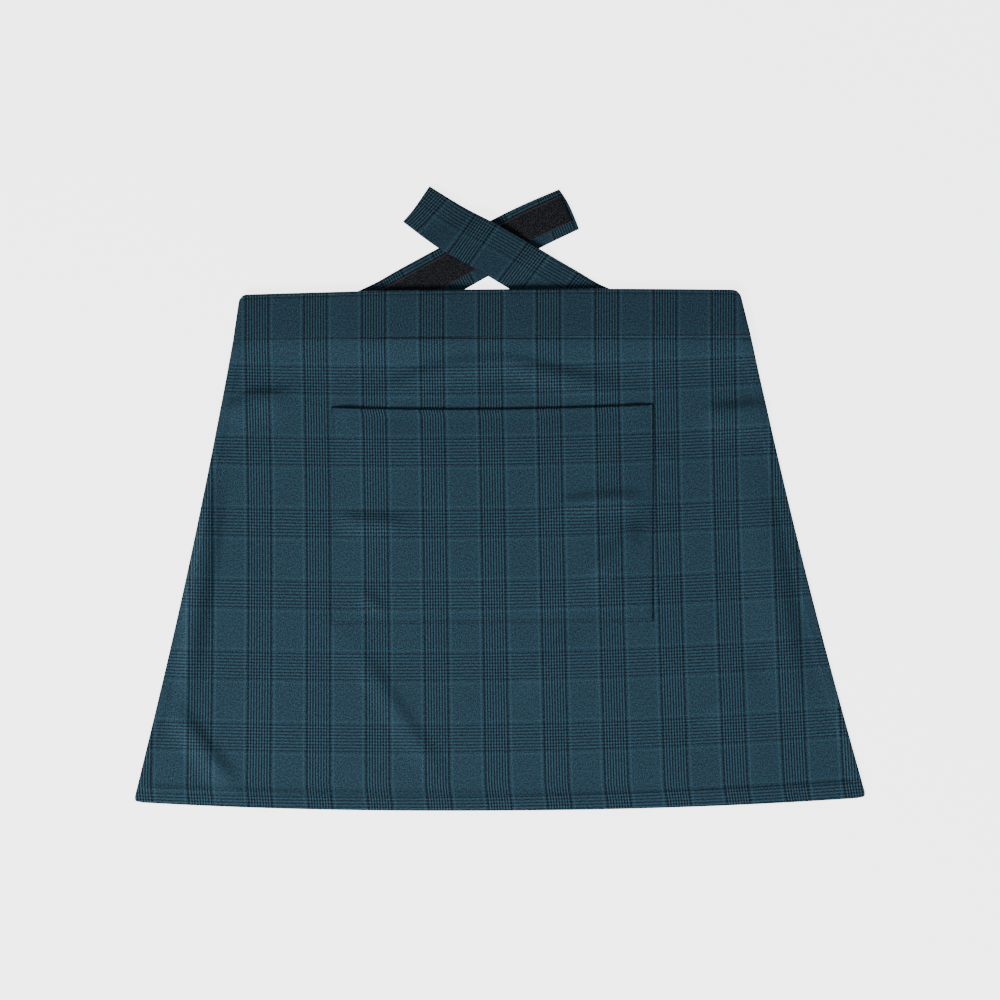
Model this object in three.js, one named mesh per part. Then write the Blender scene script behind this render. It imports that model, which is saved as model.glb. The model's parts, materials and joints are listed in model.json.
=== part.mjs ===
import * as THREE from "three";

// A short waist apron that lies face up on a table, in millimetres.
// X runs across it, Y from the hem towards the belts, and Z up from the table.
// While it is drawn, X = 0 and Y = 0 are the middle of the waistband's lower seam.

// Cloth and the room between layers
const clothThickness = 1.0;
const layerGap = 0.35;

// Waistband: a folded strip that holds the panel's top edge in its fold
const waistWidth = 496.5;
const bandHeight = 45.4;
const bandTaperLeft = 6.3;
const bandTaperRight = 10.7;
const bandTilt = 4.8;
const bandTopBow = 2.9;
const bandSeamBow = 0.7;
const bandCornerRadius = 7;
const bandCornerLines = [0, 0.12, 0.4, 1];
const bandRampLength = 34;
const bandStep = 12;
const tuckDepth = 9;

// Shares of the band's thickness round its top fold, each at a share of the fold's depth
const foldDepth = 2.6;
const roundOfFold = [
  { inward: 1.0, height: 0.95 },
  { inward: 0.3, height: 0.74 },
  { inward: 0.0, height: 0.5 },
  { inward: 0.3, height: 0.26 },
  { inward: 1.0, height: 0.05 },
];

// Panel. A higher hemFullness keeps the hem's sag deep further out towards the corners.
const panelDrop = 444.1;
const hemSag = 10.4;
const hemFullness = 2.2;
const hemTilt = 4.4;
const flareLeft = 95.8;
const flareRight = 111.2;
const sideBow = 4.0;
const panelCornerRadius = 6;
const panelCornerLines = [0, 0.3, 1];
const hemDepth = 17;
const sideHemDepth = 10;
const turnedClothExtra = 0.8;
const hemLedge = 2;
const settleLength = 36;
const settleStep = 9;
const panelStep = 20;
const panelPastBelt = 2;

// Pocket: a patch sewn at its sides and its foot, with slack cloth and an open mouth
const pocketWidth = 309;
const pocketHeight = 208.5;
const pocketDrop = 66;
const pocketTilt = 2.8;
const mouthSag = 3.1;
const pocketSeamGap = 0.5;
const pocketSlack = 1.3;
const pocketSlackReach = 46;
const mouthLift = 1.5;
const mouthLiftReach = 42;
const mouthHemDepth = 7;
const pocketFoldFade = 34;
const pocketEdgeStep = 3;
const pocketSideStep = 12;
const pocketStep = 17;

// Belts: the left one lies on the table, and the right one crosses over it
const beltWidth = 46.5;
const beltThickness = 1.6;
const beltRise = 81.8;
const flatBeltStep = 14;
const liftedBeltStep = 7;
const crossingFall = 21;
const crossingPastBelt = 1;
const routeDivisions = 400;
const routeSampleStep = 4;

// Hook-and-loop tape
const tapeWidth = 27.5;
const tapeThickness = 1.0;
const tapeShift = 1.6;
const tapeEndMargin = 4;
const tapeStep = 12;
const loopLength = 210;
const hookLength = 85;
const hookFade = 22;

// Belt routes, from the sewn end to the free end. out is a share of half the waist width,
// above a share of beltRise over the band's top edge, below a share of bandHeight under it,
// and wide a share of beltWidth.
const leftBeltRows = [
  { out: -0.95, above: 0.0, below: 0.6, wide: 0.86 },
  { out: -0.765, above: 0.0, below: 0.66, wide: 0.9 },
  { out: -0.584, above: 0.0, below: 0.66, wide: 0.95 },
  { out: -0.427, above: 0.0, below: 0.36, wide: 1.0 },
  { out: -0.304, above: 0.0, below: 0.0, wide: 1.02 },
  { out: -0.012, above: 0.485, below: 0.0, wide: 0.99 },
  { out: 0.146, above: 0.735, below: 0.0, wide: 0.96 },
  { out: 0.305, above: 0.955, below: 0.0, wide: 0.92 },
];
const rightBeltRows = [
  { out: 0.93, above: 0.0, below: 0.49, wide: 0.88 },
  { out: 0.745, above: 0.0, below: 0.56, wide: 0.91 },
  { out: 0.544, above: 0.0, below: 0.63, wide: 0.96 },
  { out: 0.395, above: 0.0, below: 0.39, wide: 1.0 },
  { out: 0.265, above: 0.0, below: 0.0, wide: 1.02 },
  { out: -0.012, above: 0.485, below: 0.0, wide: 1.02 },
  { out: -0.155, above: 0.722, below: 0.0, wide: 1.0 },
  { out: -0.29, above: 1.0, below: 0.0, wide: 0.92 },
];

// Soft folds of the panel. across is a share of half the hem width, down a share of panelDrop,
// rise a share of foldRise and reach a share of foldReach.
const foldRise = 4;
const foldReach = 30;
const panelFolds = [
  { across: -0.77, down: 0.34, toAcross: -0.835, toDown: 0.66, rise: 0.7, reach: 1.0 },
  { across: -0.835, down: 0.66, toAcross: -0.7, toDown: 0.93, rise: 0.7, reach: 0.9 },
  { across: 0.76, down: 0.34, toAcross: 0.86, toDown: 0.72, rise: 0.65, reach: 0.95 },
  { across: 0.55, down: 0.86, toAcross: 0.73, toDown: 0.66, rise: 0.5, reach: 0.9 },
  { across: -0.33, down: 0.66, toAcross: -0.13, toDown: 0.93, rise: 0.55, reach: 0.95 },
  { across: 0.07, down: 0.76, toAcross: 0.19, toDown: 0.66, rise: 0.4, reach: 0.8 },
  { across: -0.71, down: 0.145, toAcross: -0.56, toDown: 0.105, rise: 0.6, reach: 0.8 },
  { across: 0.6, down: 0.155, toAcross: 0.74, toDown: 0.145, rise: 0.7, reach: 0.8 },
  { across: -0.33, down: 0.095, toAcross: -0.1, toDown: 0.055, rise: 0.45, reach: 0.7 },
  { across: -0.1, down: 0.055, toAcross: 0.1, toDown: 0.06, rise: 0.45, reach: 0.7 },
  { across: 0.1, down: 0.06, toAcross: 0.35, toDown: 0.1, rise: 0.4, reach: 0.7 },
  { across: 0.3, down: 0.9, toAcross: 0.42, toDown: 0.84, rise: 0.3, reach: 0.8 },
];

// Soft folds of the pocket, with across a share of half its width and down a share of its height
const pocketFolds = [
  { across: 0.93, down: 0.5, toAcross: 0.56, toDown: 0.8, rise: 0.5, reach: 0.8 },
  { across: 0.93, down: 0.37, toAcross: 0.4, toDown: 0.5, rise: 0.4, reach: 0.8 },
  { across: -0.93, down: 0.53, toAcross: -0.55, toDown: 0.53, rise: 0.35, reach: 0.7 },
  { across: -0.78, down: 0.86, toAcross: -0.62, toDown: 0.95, rise: 0.3, reach: 0.7 },
];

const finishes = {
  panel: { color: 0x26404c, roughness: 0.85, metalness: 0 },
  band: { color: 0x233a46, roughness: 0.85, metalness: 0 },
  pocket: { color: 0x28424e, roughness: 0.85, metalness: 0 },
  belt: { color: 0x223a46, roughness: 0.85, metalness: 0 },
  loops: { color: 0x151619, roughness: 0.95, metalness: 0 },
  hooks: { color: 0x151619, roughness: 0.9, metalness: 0 },
};

// Small helpers

// 0 at and below 0, 1 at and above 1, with a smooth rise between
function easeIn(share) {
  const held = Math.min(Math.max(share, 0), 1);
  return (1 - Math.cos(Math.PI * held)) / 2;
}

// Even steps of about the given size from one number to another, both ends included
function evenSteps(from, to, size) {
  const count = Math.max(1, Math.round(Math.abs(to - from) / size));
  return Array.from({ length: count + 1 }, (_, i) => from + (to - from) * (i / count));
}

// Distances along one direction, with the same close lines at both ends and even steps between
function linesWithCloseEnds(length, closeLines, size) {
  const last = closeLines[closeLines.length - 1];
  const middle = evenSteps(last, length - last, size);
  const farEnd = closeLines.slice(0, -1).map((place) => length - place);
  return [...closeLines.slice(0, -1), ...middle, ...farEnd.reverse()];
}

// Moves a point near a square corner onto the round one. a and b are its distances from the
// corner's two edges.
function roundOff(a, b, radius) {
  if (a >= radius || b >= radius) {
    return [a, b];
  }
  const reachA = radius - a;
  const reachB = radius - b;
  const inward = Math.max(reachA, reachB) / Math.hypot(reachA, reachB);
  return [radius - reachA * inward, radius - reachB * inward];
}

// Shortest distance from a point to a line through two ends
function distanceToStretch(x, y, startX, startY, endX, endY) {
  const runX = endX - startX;
  const runY = endY - startY;
  const share = ((x - startX) * runX + (y - startY) * runY) / (runX * runX + runY * runY);
  const held = Math.min(Math.max(share, 0), 1);
  return Math.hypot(x - startX - runX * held, y - startY - runY * held);
}

// Height of a table of folds at a point, each fold a round ridge along its own line
function heightOfFolds(folds, x, y, halfWidth, topY, length) {
  let height = 0;
  for (const fold of folds) {
    const distance = distanceToStretch(
      x,
      y,
      fold.across * halfWidth,
      topY - fold.down * length,
      fold.toAcross * halfWidth,
      topY - fold.toDown * length,
    );
    height += foldRise * fold.rise * easeIn(1 - distance / (foldReach * fold.reach));
  }
  return height;
}

// A closed sheet from a grid: at(i, j) gives x, y, the underside's z and the thickness
function closedSheet(columnCount, rowCount, at) {
  const points = [];
  for (let j = 0; j < rowCount; j += 1) {
    for (let i = 0; i < columnCount; i += 1) {
      points.push(at(i, j));
    }
  }
  const low = points.map((point) => [point.x, point.y, point.under]);
  const high = points.map((point) => [point.x, point.y, point.under + point.thickness]);
  const positions = [...low, ...high].flat();
  const layer = points.length;
  const lowAt = (i, j) => j * columnCount + i;
  const highAt = (i, j) => layer + lowAt(i, j);
  const origin = points[0];
  const next = points[1];
  const below = points[columnCount];
  const turn = (next.x - origin.x) * (below.y - origin.y) - (next.y - origin.y) * (below.x - origin.x);
  const indices = [];
  const addTriangle = (a, b, c) => (turn < 0 ? indices.push(a, b, c) : indices.push(a, c, b));
  const addFour = (a, b, c, d) => {
    addTriangle(a, b, c);
    addTriangle(a, c, d);
  };
  for (let j = 0; j < rowCount - 1; j += 1) {
    for (let i = 0; i < columnCount - 1; i += 1) {
      addFour(highAt(i, j), highAt(i, j + 1), highAt(i + 1, j + 1), highAt(i + 1, j));
      addTriangle(lowAt(i, j), lowAt(i + 1, j + 1), lowAt(i, j + 1));
      addTriangle(lowAt(i, j), lowAt(i + 1, j), lowAt(i + 1, j + 1));
    }
  }
  const lastColumn = columnCount - 1;
  const lastRow = rowCount - 1;
  for (let i = 0; i < lastColumn; i += 1) {
    addFour(lowAt(i, 0), highAt(i, 0), highAt(i + 1, 0), lowAt(i + 1, 0));
    addFour(lowAt(i + 1, lastRow), highAt(i + 1, lastRow), highAt(i, lastRow), lowAt(i, lastRow));
  }
  for (let j = 0; j < lastRow; j += 1) {
    addFour(lowAt(0, j + 1), highAt(0, j + 1), highAt(0, j), lowAt(0, j));
    addFour(lowAt(lastColumn, j), highAt(lastColumn, j), highAt(lastColumn, j + 1), lowAt(lastColumn, j + 1));
  }
  const geometry = new THREE.BufferGeometry();
  geometry.setAttribute("position", new THREE.Float32BufferAttribute(positions, 3));
  geometry.setIndex(indices);
  geometry.computeVertexNormals();
  return geometry;
}

// Outline of the band and the panel. side runs from -1 at the left edge to 1 at the right edge.

function seamLine(side) {
  return (bandTilt / 2) * side - bandSeamBow * side * side;
}

function bandTopLine(side) {
  return bandHeight + (bandTilt / 2) * side - bandTopBow * side * side;
}

function hemLine(side) {
  return -panelDrop - hemSag * (1 - Math.abs(side) ** hemFullness) + (hemTilt / 2) * side;
}

function bandEdges(heightShare) {
  return [
    -waistWidth / 2 + bandTaperLeft * heightShare,
    waistWidth / 2 - bandTaperRight * heightShare,
  ];
}

function panelEdges(dropShare) {
  if (dropShare < 0) {
    return bandEdges((-dropShare * panelDrop) / bandHeight);
  }
  const bow = sideBow * Math.sin(Math.PI * Math.min(dropShare, 1));
  return [
    -waistWidth / 2 - flareLeft * dropShare + bow,
    waistWidth / 2 + flareRight * dropShare - bow,
  ];
}

// Belt routes: the curve's third number carries the belt's width
function beltRoute(rows) {
  const topY = bandTopLine(0);
  const points = rows.map((row) => {
    const x = row.out * (waistWidth / 2);
    const y = topY + row.above * beltRise - row.below * bandHeight;
    return new THREE.Vector3(x, y, row.wide * beltWidth);
  });
  const route = new THREE.CatmullRomCurve3(points, false, "centripetal");
  route.arcLengthDivisions = routeDivisions;
  return route;
}

const leftRoute = beltRoute(leftBeltRows);
const rightRoute = beltRoute(rightBeltRows);
const leftLength = leftRoute.getLength();
const rightLength = rightRoute.getLength();
const leftSamples = leftRoute.getSpacedPoints(Math.ceil(leftLength / routeSampleStep));
const rightSamples = rightRoute.getSpacedPoints(Math.ceil(rightLength / routeSampleStep));

// Distance from a point to the near edge of a belt, below zero on the belt itself
function distanceToBelt(samples, x, y) {
  let nearest = Infinity;
  for (let i = 1; i < samples.length; i += 1) {
    const start = samples[i - 1];
    const end = samples[i];
    const distance = distanceToStretch(x, y, start.x, start.y, end.x, end.y) - end.z / 2;
    nearest = Math.min(nearest, distance);
  }
  return nearest;
}

// A strip along a route: a belt or a tape on one
function stripAlong(route, length, strip) {
  const stations = evenSteps(strip.from, strip.to, strip.step);
  const sides = evenSteps(-1, 1, 2 / strip.across);
  return closedSheet(sides.length, stations.length, (i, j) => {
    const along = stations[j];
    const point = route.getPointAt(along / length);
    const direction = route.getTangentAt(along / length);
    const planLength = Math.hypot(direction.x, direction.y);
    const half = (strip.width ?? point.z) / 2;
    const out = (strip.shift ?? 0) + half * sides[i];
    const x = point.x - (direction.y / planLength) * out;
    const y = point.y + (direction.x / planLength) * out;
    return { x, y, under: strip.under(x, y, along), thickness: strip.thickness };
  });
}

// Left belt with the loop tape on it
const loopEnd = leftLength - tapeEndMargin;
const loopStart = loopEnd - loopLength;
const tapeUnder = beltThickness + layerGap;
const tapeTop = tapeUnder + tapeThickness;

function leftBelt() {
  return stripAlong(leftRoute, leftLength, {
    from: 0,
    to: leftLength,
    step: flatBeltStep,
    across: 2,
    under: () => 0,
    thickness: beltThickness,
  });
}

function loopStrip() {
  return stripAlong(leftRoute, leftLength, {
    from: loopStart,
    to: loopEnd,
    step: tapeStep,
    across: 2,
    width: tapeWidth,
    shift: tapeShift,
    under: () => tapeUnder,
    thickness: tapeThickness,
  });
}

// Right belt: it climbs over the left belt and its tape, and carries the hook tape underneath
const hookEnd = rightLength - tapeEndMargin;
const hookStart = hookEnd - hookLength;

function crossingLift(x, y) {
  const pastBelt = distanceToBelt(leftSamples, x, y) - crossingPastBelt;
  return (tapeTop + layerGap) * easeIn(1 - pastBelt / crossingFall);
}

function hookLift(along) {
  return (tapeThickness + layerGap) * easeIn(1 - (hookStart - along) / hookFade);
}

function rightBelt() {
  return stripAlong(rightRoute, rightLength, {
    from: 0,
    to: rightLength,
    step: liftedBeltStep,
    across: 4,
    under: (x, y, along) => crossingLift(x, y) + hookLift(along),
    thickness: beltThickness,
  });
}

function hookStrip() {
  return stripAlong(rightRoute, rightLength, {
    from: hookStart,
    to: hookEnd,
    step: liftedBeltStep,
    across: 3,
    width: tapeWidth,
    under: (x, y) => crossingLift(x, y),
    thickness: tapeThickness,
  });
}

// Waistband: it lies on both belts, and higher on the stretch of loop tape that it covers. Where
// the belt is so long that the tape starts above the band, no stretch is covered.
const coveredTape = leftSamples.filter(
  (point, i) => i * routeSampleStep > loopStart - routeSampleStep && point.y < bandHeight + tapeWidth / 2,
);
const coveredTapeFrom = Math.min(...coveredTape.map((point) => point.x)) - tapeWidth / 2;
const coveredTapeTo = Math.max(...coveredTape.map((point) => point.x));

function bandUnder(x) {
  const outside = Math.max(coveredTapeFrom - x, x - coveredTapeTo);
  const overTape = easeIn(1 - outside / bandRampLength);
  return beltThickness + layerGap + (tapeThickness + layerGap) * overTape;
}

const grooveHeight = clothThickness + 2 * layerGap;
const bandThickness = 2 * clothThickness + grooveHeight;

// The band's section: distance below the top edge, and height over the band's underside
function bandSection() {
  const round = roundOfFold.map((row) => [row.inward * foldDepth, row.height * bandThickness]);
  return [
    [bandHeight, bandThickness],
    [bandCornerRadius, bandThickness],
    ...round,
    [bandCornerRadius, 0],
    [bandHeight, 0],
    [bandHeight, clothThickness],
    [bandHeight - tuckDepth, clothThickness],
    [bandHeight - tuckDepth, bandThickness - clothThickness],
    [bandHeight, bandThickness - clothThickness],
  ];
}

function waistband() {
  const section = bandSection();
  const closeLines = bandCornerLines.map((share) => share * bandCornerRadius);
  const stations = linesWithCloseEnds(waistWidth, closeLines, bandStep);
  const positions = [];
  for (const station of stations) {
    const share = station / waistWidth;
    const side = 2 * share - 1;
    for (const [drop, height] of section) {
      const fromEnd = Math.min(station, waistWidth - station);
      const [inset, lowered] = roundOff(fromEnd, drop, bandCornerRadius);
      const moved = (inset - fromEnd) * (side < 0 ? 1 : -1);
      const heightShare = 1 - lowered / bandHeight;
      const [left, right] = bandEdges(heightShare);
      const x = left + (right - left) * share + moved;
      const y = seamLine(side) + (bandTopLine(side) - seamLine(side)) * heightShare;
      positions.push(x, y, bandUnder(x) + height);
    }
  }
  const ring = section.length;
  const indices = [];
  for (let j = 0; j < stations.length - 1; j += 1) {
    for (let i = 0; i < ring; i += 1) {
      const here = j * ring + i;
      const after = j * ring + ((i + 1) % ring);
      indices.push(here, after + ring, after, here, here + ring, after + ring);
    }
  }
  const outline = section.map(([drop, height]) => new THREE.Vector2(-drop, height));
  const lastRing = (stations.length - 1) * ring;
  for (const [a, b, c] of THREE.ShapeUtils.triangulateShape(outline, [])) {
    indices.push(a, c, b, lastRing + a, lastRing + b, lastRing + c);
  }
  const geometry = new THREE.BufferGeometry();
  geometry.setAttribute("position", new THREE.Float32BufferAttribute(positions, 3));
  geometry.setIndex(indices);
  geometry.computeVertexNormals();
  return geometry;
}

// Panel: its top edge sits in the band's fold, and below the seam it settles onto the table
const halfHem = (waistWidth + flareLeft + flareRight) / 2;

function liftOverBelts(x, y) {
  const near = Math.min(distanceToBelt(leftSamples, x, y), distanceToBelt(rightSamples, x, y));
  return (beltThickness + layerGap) * easeIn(1 - (near - panelPastBelt) / settleLength);
}

function panelUnder(x, y, down) {
  const heldAt = bandUnder(x) + clothThickness + layerGap;
  if (down <= 0) {
    return heldAt;
  }
  const settled = heldAt * easeIn(1 - down / settleLength);
  const resting = Math.max(settled, liftOverBelts(x, y));
  const folds = heightOfFolds(panelFolds, x, y, halfHem, 0, panelDrop);
  return resting + folds * easeIn(down / settleLength);
}

// Y of the panel's cloth at a distance below the seam, or above it inside the band
function panelLine(side, down) {
  const seam = seamLine(side);
  if (down < 0) {
    return seam + ((bandTopLine(side) - seam) * -down) / bandHeight;
  }
  return seam + ((hemLine(side) - seam) * down) / panelDrop;
}

function skirtPanel() {
  const hemWidth = 2 * halfHem;
  const cornerLines = panelCornerLines.map((share) => share * panelCornerRadius);
  const sideLines = [...cornerLines, sideHemDepth, sideHemDepth + hemLedge];
  const columns = linesWithCloseEnds(hemWidth, sideLines, panelStep);
  const settled = evenSteps(0, settleLength, settleStep);
  const open = evenSteps(settleLength, panelDrop - hemDepth - hemLedge, panelStep);
  const hem = [hemDepth, ...cornerLines.reverse()].map((fromHem) => panelDrop - fromHem);
  const rows = [-tuckDepth + layerGap, ...settled, ...open.slice(1), ...hem];
  return closedSheet(columns.length, rows.length, (i, j) => {
    const share = columns[i] / hemWidth;
    const side = 2 * share - 1;
    const down = rows[j];
    const dropShare = down / panelDrop;
    const [left, right] = panelEdges(dropShare);
    const width = right - left;
    const fromSide = Math.min(share, 1 - share) * width;
    const fromHem = panelDrop - down;
    const [inset, raised] = roundOff(fromSide, fromHem, panelCornerRadius);
    const x = left + width * share + (inset - fromSide) * (side < 0 ? 1 : -1);
    const y = panelLine(side, panelDrop - raised);
    const inHem = down >= panelDrop - hemDepth;
    const inSideHem = Math.min(columns[i], hemWidth - columns[i]) <= sideHemDepth && down > 0;
    const turned = inHem || inSideHem ? turnedClothExtra : 0;
    return { x, y, under: panelUnder(x, y, down), thickness: clothThickness + turned };
  });
}

// Pocket: its edges lie on the panel, and its slack cloth and its mouth stand off it
function pocketSlackAt(fromSide, fromFoot) {
  return easeIn(fromSide / pocketSlackReach) * easeIn(fromFoot / pocketSlackReach);
}

function mouthLiftAt(fromSide, fromMouth) {
  const near = easeIn(1 - Math.abs(fromSide - mouthLiftReach / 2) / (mouthLiftReach / 2));
  return near * easeIn(1 - fromMouth / mouthLiftReach);
}

function pocket() {
  const sideLines = [0, pocketEdgeStep, pocketSideStep];
  const columns = linesWithCloseEnds(pocketWidth, sideLines, pocketStep);
  const body = evenSteps(mouthHemDepth + hemLedge, pocketHeight - pocketEdgeStep, pocketStep);
  const rows = [0, mouthHemDepth, ...body, pocketHeight];
  return closedSheet(columns.length, rows.length, (i, j) => {
    const side = (2 * columns[i]) / pocketWidth - 1;
    const fromSide = Math.min(columns[i], pocketWidth - columns[i]);
    const fromMouth = rows[j];
    const fromFoot = pocketHeight - fromMouth;
    const sag = mouthSag * (1 - side * side) * (fromFoot / pocketHeight);
    const topY = -pocketDrop + (pocketTilt / 2) * side;
    const x = (side * pocketWidth) / 2;
    const y = topY - sag - fromMouth * (1 - (sag / pocketHeight) * (fromMouth / pocketHeight));
    const panelTop = panelUnder(x, y, -y) + clothThickness;
    const slack = pocketSlack * pocketSlackAt(fromSide, fromFoot);
    const lift = mouthLift * mouthLiftAt(fromSide, fromMouth);
    const folds = heightOfFolds(pocketFolds, x, y, pocketWidth / 2, -pocketDrop, pocketHeight);
    const foldShare = easeIn(fromSide / pocketFoldFade) * easeIn(fromFoot / pocketFoldFade);
    const under = panelTop + pocketSeamGap + slack + lift + folds * foldShare;
    const turned = fromMouth <= mouthHemDepth ? turnedClothExtra : 0;
    return { x, y, under, thickness: clothThickness + turned };
  });
}

// The assembly
function namedMesh(name, geometry, finish) {
  const mesh = new THREE.Mesh(geometry, new THREE.MeshStandardMaterial(finish));
  mesh.name = name;
  return mesh;
}

const laid = new THREE.Group();
laid.add(namedMesh("skirt_panel", skirtPanel(), finishes.panel));
laid.add(namedMesh("waistband", waistband(), finishes.band));
laid.add(namedMesh("pocket", pocket(), finishes.pocket));
laid.add(namedMesh("left_belt", leftBelt(), finishes.belt));
laid.add(namedMesh("right_belt", rightBelt(), finishes.belt));
laid.add(namedMesh("loop_strip", loopStrip(), finishes.loops));
laid.add(namedMesh("hook_strip", hookStrip(), finishes.hooks));

// The middle of the base of the whole outline is the origin
const outline = new THREE.Box3().setFromObject(laid);
const middle = outline.getCenter(new THREE.Vector3());
laid.position.set(-middle.x, -middle.y, -outline.min.z);

const apron = new THREE.Group();
apron.add(laid);

export default apron;
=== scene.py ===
"""A waiter's waist apron in a dark teal glen check, laid flat and face up.

The cloth, the tape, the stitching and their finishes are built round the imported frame, in metres.
"""
import json
import math

import bpy
import numpy as np
from bpy.props import FloatProperty, FloatVectorProperty, PointerProperty
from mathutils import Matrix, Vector

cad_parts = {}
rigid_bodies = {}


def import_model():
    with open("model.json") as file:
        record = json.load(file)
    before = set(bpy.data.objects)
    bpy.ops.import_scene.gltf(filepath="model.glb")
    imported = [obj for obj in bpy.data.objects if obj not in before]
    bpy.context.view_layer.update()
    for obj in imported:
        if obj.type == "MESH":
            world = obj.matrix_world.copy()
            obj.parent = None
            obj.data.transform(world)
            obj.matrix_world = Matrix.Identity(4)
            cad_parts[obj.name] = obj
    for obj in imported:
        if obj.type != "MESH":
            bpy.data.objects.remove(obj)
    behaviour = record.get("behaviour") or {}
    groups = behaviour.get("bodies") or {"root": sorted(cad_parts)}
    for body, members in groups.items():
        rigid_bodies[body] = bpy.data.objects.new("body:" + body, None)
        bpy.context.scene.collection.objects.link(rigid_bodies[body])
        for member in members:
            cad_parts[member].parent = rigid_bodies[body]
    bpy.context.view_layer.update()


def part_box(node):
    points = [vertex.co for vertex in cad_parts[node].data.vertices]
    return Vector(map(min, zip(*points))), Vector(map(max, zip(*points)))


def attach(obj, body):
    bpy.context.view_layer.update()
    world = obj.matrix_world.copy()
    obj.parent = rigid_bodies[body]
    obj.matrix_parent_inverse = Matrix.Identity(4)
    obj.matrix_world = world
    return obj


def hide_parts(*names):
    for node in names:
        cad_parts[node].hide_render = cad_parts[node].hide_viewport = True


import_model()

bl_info = {
    "name": "Waiter Apron",
    "version": (1, 0, 0),
    "blender": (4, 5, 0),
    "location": "View3D > Sidebar > Apron",
    "description": "Builds a waist apron with its cloth, tape, stitching and finishes",
    "category": "Add Mesh",
}

BAND_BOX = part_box("waistband")
POCKET_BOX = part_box("pocket")
MM = 0.001


def length(label, description, default):
    """A length that a user can change, in metres."""
    return FloatProperty(name=label, description=description, default=default, unit="LENGTH", precision=5)


def share(label, description, default):
    """A plain share from 0 to 1."""
    return FloatProperty(name=label, description=description, default=default, subtype="FACTOR", min=0, max=1)


def colour(label, description, default):
    """A colour in linear light."""
    return FloatVectorProperty(name=label, description=description, default=default, subtype="COLOR", size=3)


class ApronCloth(bpy.types.PropertyGroup):
    """The cloth itself and how it is sewn"""

    thickness: length("Thickness", "One layer of cloth", 0.9 * MM)
    gap: length("Gap", "Room between two layers", 0.35 * MM)
    turned: length("Turned cloth", "What a turned edge adds to the thickness", 0.7 * MM)
    step: length("Grid step", "Distance between the lines of a cloth grid", 3.3 * MM)
    ripple: length("Ripple", "Height of the cloth's shallow unevenness", 0.55 * MM)
    stitch: length("Stitch", "Length of one stitch on the face", 2.3 * MM)
    stitch_gap: length("Stitch gap", "Room between two stitches", 0.8 * MM)
    thread: length("Thread", "Thickness of the sewing thread", 0.42 * MM)


class ApronBand(bpy.types.PropertyGroup):
    """The folded waistband"""

    width: length("Width", "Waistband from end to end", BAND_BOX[1].x - BAND_BOX[0].x)
    height: length("Height", "Waistband from its seam to its top fold", 45.4 * MM)
    taper_left: length("Left taper", "How far the left end leans in at the top", 6.3 * MM)
    taper_right: length("Right taper", "How far the right end leans in at the top", 10.7 * MM)
    tilt: length("Tilt", "Rise of the right end over the left end", 4.8 * MM)
    top_bow: length("Top bow", "Bow of the top edge", 2.9 * MM)
    seam_bow: length("Seam bow", "Bow of the lower seam", 0.7 * MM)
    corner: length("Corner radius", "Radius of the two top corners", 7 * MM)
    thick: length("Thickness", "Folded band from its back to its face", 3.7 * MM)
    top_stitch: length("Topstitch", "Topstitching below the top edge", 2.7 * MM)


class ApronPanel(bpy.types.PropertyGroup):
    """The flared panel"""

    drop: length("Drop", "Panel from the seam to its corners", 444.1 * MM)
    hem_sag: length("Hem sag", "How far the middle of the hem hangs below its corners", 10.4 * MM)
    hem_fullness: FloatProperty(name="Hem fullness", description="Power of the hem's sag", default=2.2)
    hem_tilt: length("Hem tilt", "Rise of the hem's right corner over its left one", 4.4 * MM)
    flare_left: length("Left flare", "How far the hem reaches past the band at the left", 95.8 * MM)
    flare_right: length("Right flare", "How far the hem reaches past the band at the right", 111.2 * MM)
    side_bow: length("Side bow", "Inward bow of both sides", 4 * MM)
    corner: length("Corner radius", "Radius of the hem's corners", 6 * MM)
    hem: length("Hem", "Depth of the turned hem", 17 * MM)
    side_hem: length("Side hem", "Depth of the turned sides", 10 * MM)
    settle: length("Settling", "Distance in which the panel comes down to the table", 36 * MM)
    past_belt: length("Past the belts", "Cloth that stays level past a belt", 2 * MM)


class ApronPocket(bpy.types.PropertyGroup):
    """The patch pocket"""

    width: length("Width", "Pocket from side to side", POCKET_BOX[1].x - POCKET_BOX[0].x)
    height: length("Height", "Pocket from its mouth to its foot", 208.5 * MM)
    drop: length("Drop", "Mouth below the band's seam", 66 * MM)
    tilt: length("Tilt", "Rise of the mouth's right end over its left end", 2.8 * MM)
    mouth_sag: length("Mouth sag", "How far the mouth hangs in its middle", 3.1 * MM)
    slack: length("Slack", "How far the loose cloth stands off the panel", 1.3 * MM)
    slack_reach: length("Slack reach", "Distance from a seam in which the cloth lifts", 46 * MM)
    mouth_lift: length("Mouth lift", "How far the mouth stands open near its ends", 0.8 * MM)
    mouth_reach: length("Mouth reach", "Distance in which the open mouth settles", 34 * MM)
    mouth_hem: length("Mouth hem", "Depth of the mouth's turned edge", 7 * MM)
    seam_gap: length("Seam gap", "Room under the sewn edges", 0.2 * MM)
    stitch_inset: length("Stitch inset", "Stitching inside the pocket's edges", 2.8 * MM)


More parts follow.
